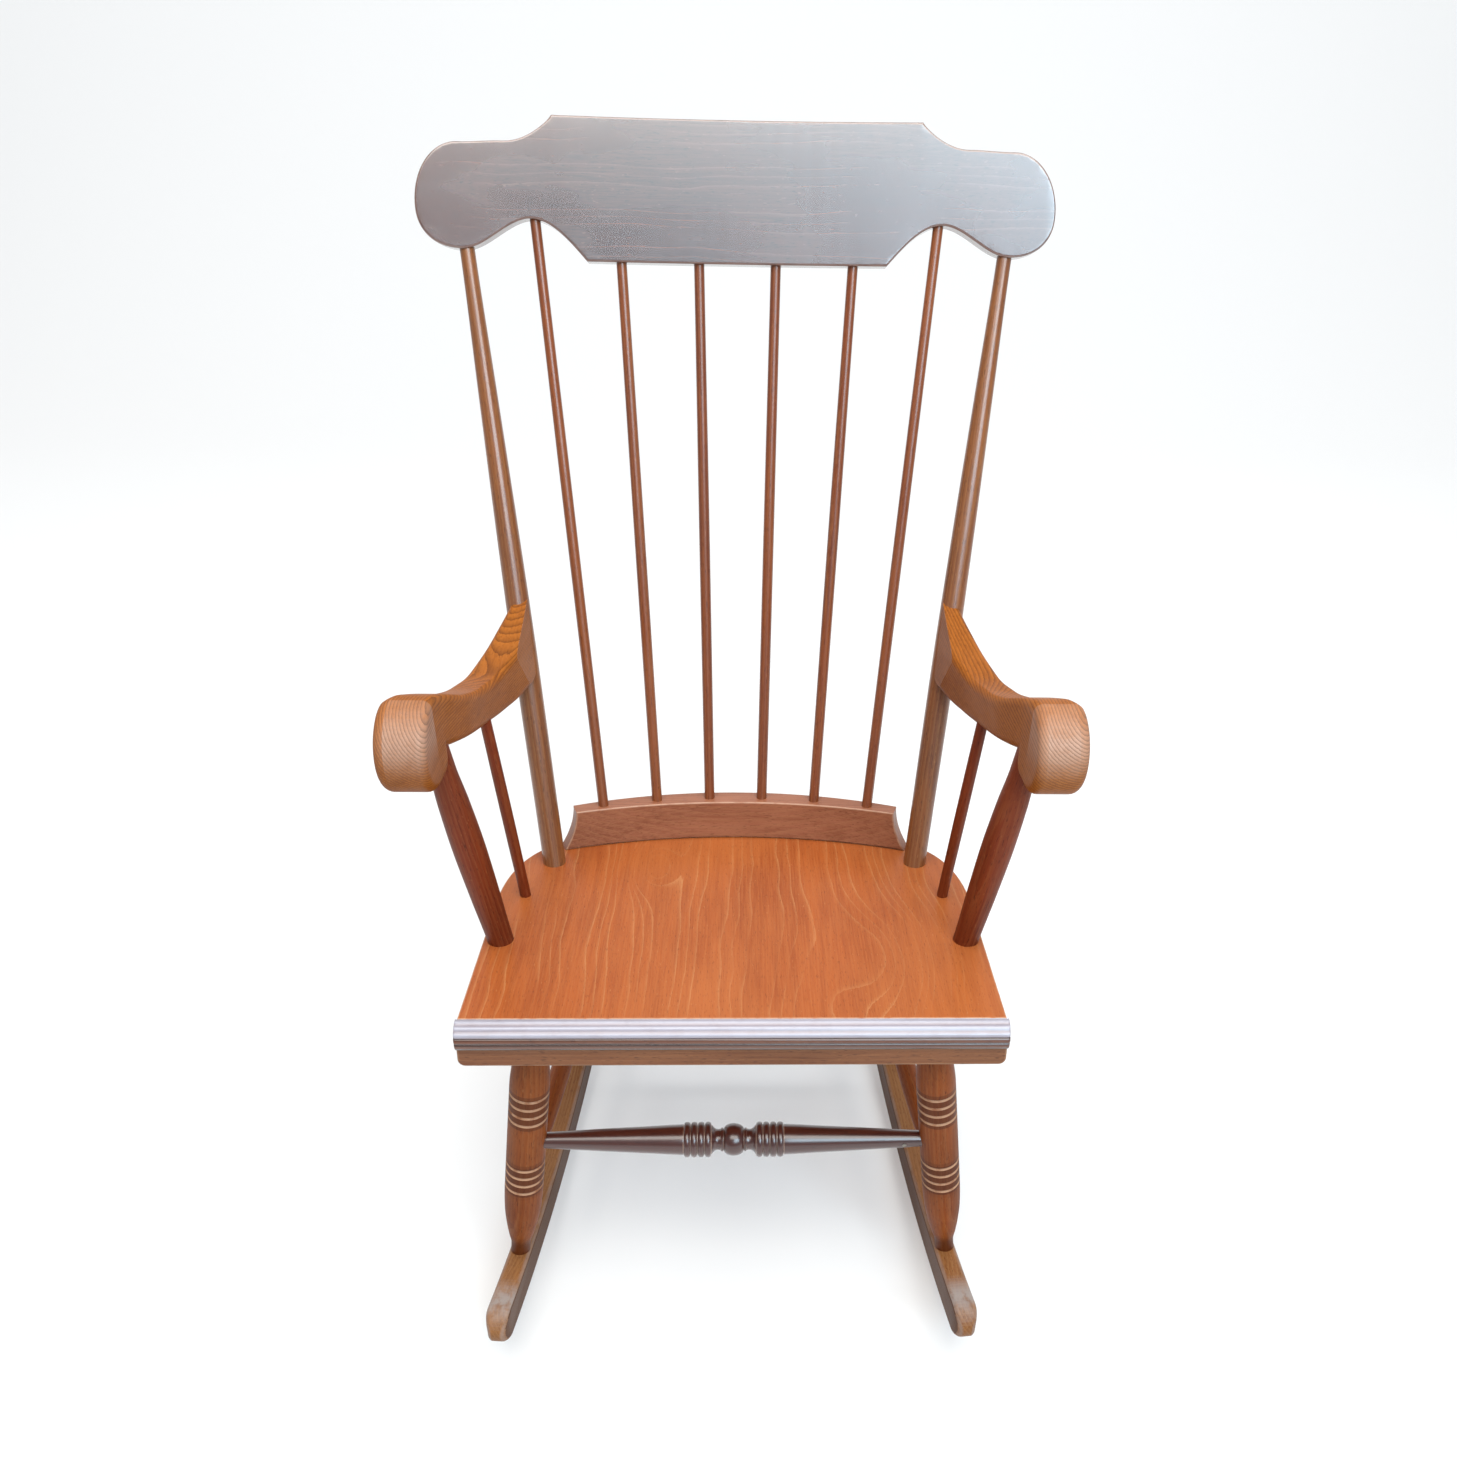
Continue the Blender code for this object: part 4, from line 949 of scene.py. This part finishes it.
def make_arms():
    for side, word in SIDES:
        body = slab(arm_outline(), ARM_HALF, (0.0080, 0.0105), 7, 0.0)
        slice_across(body, 0, 0.006)
        for vertex in body.verts:
            back, height, across = vertex.co
            outer, inner = follow(ARM_OUTER, back), follow(ARM_INNER, back)
            x = (outer + inner) / 2 + across / ARM_HALF * (outer - inner) / 2
            vertex.co = (side * x, SEAT_Y + back, height)
        mark = body.faces.layers.float.get("mark")
        # painted highlight: the roll's front is paled, fading out from the patch's middle
        patch, reach = ROLL_HIGHLIGHTS[word]
        for face in body.faces:
            middle = face.calc_center_median()
            across = (abs(middle.x) - patch) / reach
            up = (middle.z - ROLL_HIGHLIGHT_HEIGHT) / ROLL_HIGHLIGHT_RISE
            if middle.y - SEAT_Y < ROLL_BACK:
                face[mark] = 0.75 * math.exp(-across ** 2 - up ** 2)
        x, back, height = POST_FACE
        normal = Vector((-side, -0.030, 0.122)).normalized()
        cut = bmesh.ops.bisect_plane(body, geom=body.verts[:] + body.edges[:] + body.faces[:],
                                     plane_co=(side * x, SEAT_Y + back, height), plane_no=normal,
                                     clear_outer=True, dist=CUT_SLACK)
        rim = [item for item in cut["geom_cut"] if isinstance(item, bmesh.types.BMEdge)]
        bmesh.ops.edgeloop_fill(body, edges=rim)
        worn_ring(body, [edge for edge in rim if edge.is_valid], ARM_EASE)
        dress(place("arm_" + word, body, "arm", None, (-0.27 * side, 0.1 * side, -0.65)))


# ---- rockers ----
ROCKER_RADIUS, ROCKER_HEIGHT, ROCKER_WIDTH = 1.18, 0.038, 0.024
ROCKER_TOE_IN, ROCKER_TIP, ROCKER_STEP = 0.090, 0.018, 0.008
ROCKER_BORE, ROCKER_BORE_START, ROCKER_BORE_END = 0.0104, 0.017, 0.05
# where the painted sheen on top of each rocker's front tip is strongest, and how far it reaches
TIP_SHEEN, TIP_SHEEN_REACH = 0.030, 0.034


def on_arc(radius, angle):
    """A point at that angle from the lowest point of a circle round the rockers' centre."""
    return Vector((radius * math.sin(angle), ROCKER_RADIUS - radius * math.cos(angle)))


def rocker_outline(first, last):
    """Side view, anticlockwise: lower arc, rear tip, upper arc, front tip."""
    half = ROCKER_HEIGHT / 2
    middle = ROCKER_RADIUS - half
    bend = half / middle
    start, end = math.asin(first / middle) + bend, math.asin(last / middle) - bend
    tips = []
    for tip, way in ((end, 1), (start, -1)):
        swings = [math.pi * i / 16 for i in range(1, 16)]
        tips.append([on_arc(middle + half * math.cos(swing), tip + way * bend * math.sin(swing))
                     for swing in swings])
    lower = [on_arc(ROCKER_RADIUS, angle) for angle in spread(start, end, ROCKER_STEP)]
    upper = [on_arc(ROCKER_RADIUS - ROCKER_HEIGHT, angle) for angle in spread(end, start, ROCKER_STEP)]
    return lower + tips[0] + upper + tips[1][::-1]


def paint_rocker_sheen_and_shade(body, first, side):
    """A pale cool patch painted on top of the front tip as its sheen, and painted shade on the sides, the
    inner one darker.
    """
    mark = body.faces.layers.float.get("mark")
    for face in body.faces:
        face.normal_update()
        if face.normal.y > 0.5:
            away = abs(face.calc_center_median().x - first - TIP_SHEEN) / TIP_SHEEN_REACH
            face[mark] = max(face[mark], 0.85 * smooth_step(1 - away))
        elif abs(face.normal.z) > UPWARD:
            face[mark] = -0.9 if face.normal.z * side < 0 else -0.3


def make_rockers():
    flip = Matrix(((0, 0, 1, 0), (1, 0, 0, 0), (0, 1, 0, 0), (0, 0, 0, 1)))
    for side, word in SIDES:
        name = "rocker_" + word
        points = node_points(name)
        low = centre([p for p in points if p.z < CLEAR])
        turn = Matrix.Rotation(side * math.atan(ROCKER_TOE_IN), 4, "Z")
        matrix = Matrix.Translation((low.x, low.y, 0)) @ turn @ flip
        inverse = matrix.inverted()
        reach = [(inverse @ p).x for p in points]
        first, last = min(reach), max(reach)
        body = slab(rocker_outline(first, last), ROCKER_WIDTH / 2, (0.0045, 0.0045), 6, 0.35)
        slice_across(body, 0, 0.004)
        for vertex in body.verts:
            beyond = max(vertex.co.x - last, first - vertex.co.x) + ROCKER_TIP
            if beyond > 0:
                vertex.co.z *= math.sqrt(1 - 0.70 * min(1.0, beyond / ROCKER_TIP) ** 2)
        paint_rocker_sheen_and_shade(body, first, side)
        rocker = place(name, body, "rocker", matrix, (0.2 * side, 0.1, 0.2))
        holes = []
        for rank in ("front", "rear"):
            foot, top = upright(f"{rank}_leg_{word}")
            holes.append((inverse @ foot, inverse @ top, ROCKER_BORE_START, ROCKER_BORE_END, ROCKER_BORE))
        bore(rocker, holes, 0.0008)
        dress(rocker)


# ---- fasteners ----
SCREW = ((0.0, 0.0018), (0.0465, 0.0018), (0.0490, 0.0037), (0.0502, 0.0038), (0.0508, 0.0034),
         (0.0511, 0.0020), (0.0500, 0.0012), (0.0492, 0.0004))
PIN = ((0.0, 0.0008), (0.0010, 0.0010), (0.0132, 0.0010), (0.0136, 0.0021), (0.0144, 0.0021),
       (0.0148, 0.0014))


def make_fastener(name, key, profile, sides):
    """A screw or pin from its (distance, radius) profile, as long as its node."""
    ends = axis_of(name, key)
    scale = length_of(ends) / max(distance for distance, _ in profile)
    body = bmesh.new()
    lathe(body, [(distance * scale, radius) for distance, radius in profile], sides)
    smooth(place(name, body, "steel", along(*ends)).data)


def make_fasteners():
    """Domed screw heads with a round recess, and the stretcher's plain pin."""
    for _, word in SIDES:
        make_fastener("arm_screw_" + word, lambda point: point.y, SCREW, 40)
    make_fastener("stretcher_brad", lambda point: -point.y, PIN, 24)


def finish_dowels():
    """The hidden dowels keep their CAD shape and take the spindles' wood."""
    for word in ("left", "middle", "right"):
        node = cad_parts["rail_dowel_" + word]
        node.data.materials.clear()
        node.data.materials.append(LOOKS["spindle"])
        grain = node.data.attributes.new("board", "FLOAT_VECTOR", "POINT")
        grain.data.foreach_set("vector", [value for v in node.data.vertices for value in v.co])


# ---- camera, floor and light ----
CAMERA_PLACE = (0.0036, -1.1211, 1.2061)
YAW, PITCH, ROLL = 0.0373, 0.5648, 0.0242
SENSOR, LENS, SHIFT = 36.0, 30.47, (-0.0338, 0.0269)
FLOOR_REACH, SWEEP_START, SWEEP_RADIUS, WALL_TOP = 40.0, 2.6, 2.5, 9.0
FLOOR_GREY, FLOOR_GLOW = 0.52, 0.30
SKY, SKY_LEVEL = (0.96, 0.98, 1.0, 1.0), 0.40
LIGHTS = (
    # name, place, target, size, radiance, colour
    ("top_softbox", (0.1, -1.2, 3.2), (0, 0.1, 0.4), (3.0, 2.4), 5.4, (1.0, 0.96, 0.90)),
    ("front_softbox", (1.55, -3.6, 3.0), (0, 0.2, 0.8), (2.8, 1.8), 9.8, (0.63, 0.85, 1.0)),
    ("wall_wash", (0.0, 1.2, 6.5), (0, 4.6, 1.2), (9.0, 1.2), 8.0, (1.0, 1.0, 1.0)),
)


def make_camera():
    right = Vector((math.cos(YAW), -math.sin(YAW), 0))
    ahead = Vector((math.sin(YAW) * math.cos(PITCH), math.cos(YAW) * math.cos(PITCH), -math.sin(PITCH)))
    up = right.cross(ahead)
    across = right * math.cos(ROLL) + up * math.sin(ROLL)
    above = up * math.cos(ROLL) - right * math.sin(ROLL)
    camera = bpy.data.objects.new("camera", bpy.data.cameras.new("camera"))
    turn = Matrix((across, above, -ahead)).transposed().to_4x4()
    camera.matrix_world = Matrix.Translation(CAMERA_PLACE) @ turn
    camera.data.sensor_width = SENSOR
    camera.data.lens = LENS
    camera.data.shift_x, camera.data.shift_y = SHIFT
    bpy.context.collection.objects.link(camera)
    bpy.context.scene.camera = camera


def soft_light(name, place_at, target, size, radiance, colour):
    """A softbox; its power follows from its area and how bright its face is."""
    data = bpy.data.lights.new(name, "AREA")
    data.shape = "RECTANGLE"
    data.size, data.size_y = size
    data.energy = math.pi * size[0] * size[1] * radiance
    data.color = colour
    lamp = bpy.data.objects.new(name, data)
    lamp.location = place_at
    lamp.rotation_euler = (Vector(target) - Vector(place_at)).to_track_quat("-Z", "Y").to_euler()
    bpy.context.collection.objects.link(lamp)


def make_floor():
    """A pale seamless sweep: flat floor that curves up into a wall far behind the chair."""
    line = [(-FLOOR_REACH, 0.0)] + arc(SWEEP_START, SWEEP_RADIUS, SWEEP_RADIUS, SWEEP_RADIUS, -QUARTER, 0, 24)
    line.append((SWEEP_START + SWEEP_RADIUS, WALL_TOP))
    count = len(line)
    mesh = bpy.data.meshes.new("floor")
    mesh.from_pydata([(x, y, z) for x in (-FLOOR_REACH, FLOOR_REACH) for y, z in line], [],
                     [(i, i + count, i + count + 1, i + 1) for i in range(count - 1)])
    mesh.shade_smooth()
    floor = bpy.data.objects.new("floor", mesh)
    bpy.context.collection.objects.link(floor)
    white = Shader("floor_white")
    white.finish({"Base Color": (FLOOR_GREY, FLOOR_GREY, FLOOR_GREY, 1.0), "Roughness": 0.95,
                  "Specular IOR Level": 0.0, "Emission Color": (1.0, 1.0, 1.0, 1.0),
                  "Emission Strength": FLOOR_GLOW})
    mesh.materials.append(white.material)


def make_studio():
    world = bpy.data.worlds.new("studio")
    world.use_nodes = True
    backdrop = world.node_tree.nodes["Background"]
    backdrop.inputs["Color"].default_value = SKY
    backdrop.inputs["Strength"].default_value = SKY_LEVEL
    bpy.context.scene.world = world
    bpy.context.scene.view_settings.view_transform = "Standard"
    for light in LIGHTS:
        soft_light(*light)


make_posts()
make_spindles()
make_arm_supports()
make_legs()
make_stretchers()
make_seat()
make_nose()
make_batten()
make_rail()
make_crest()
make_arms()
make_rockers()
make_fasteners()
finish_dowels()
make_camera()
make_floor()
make_studio()
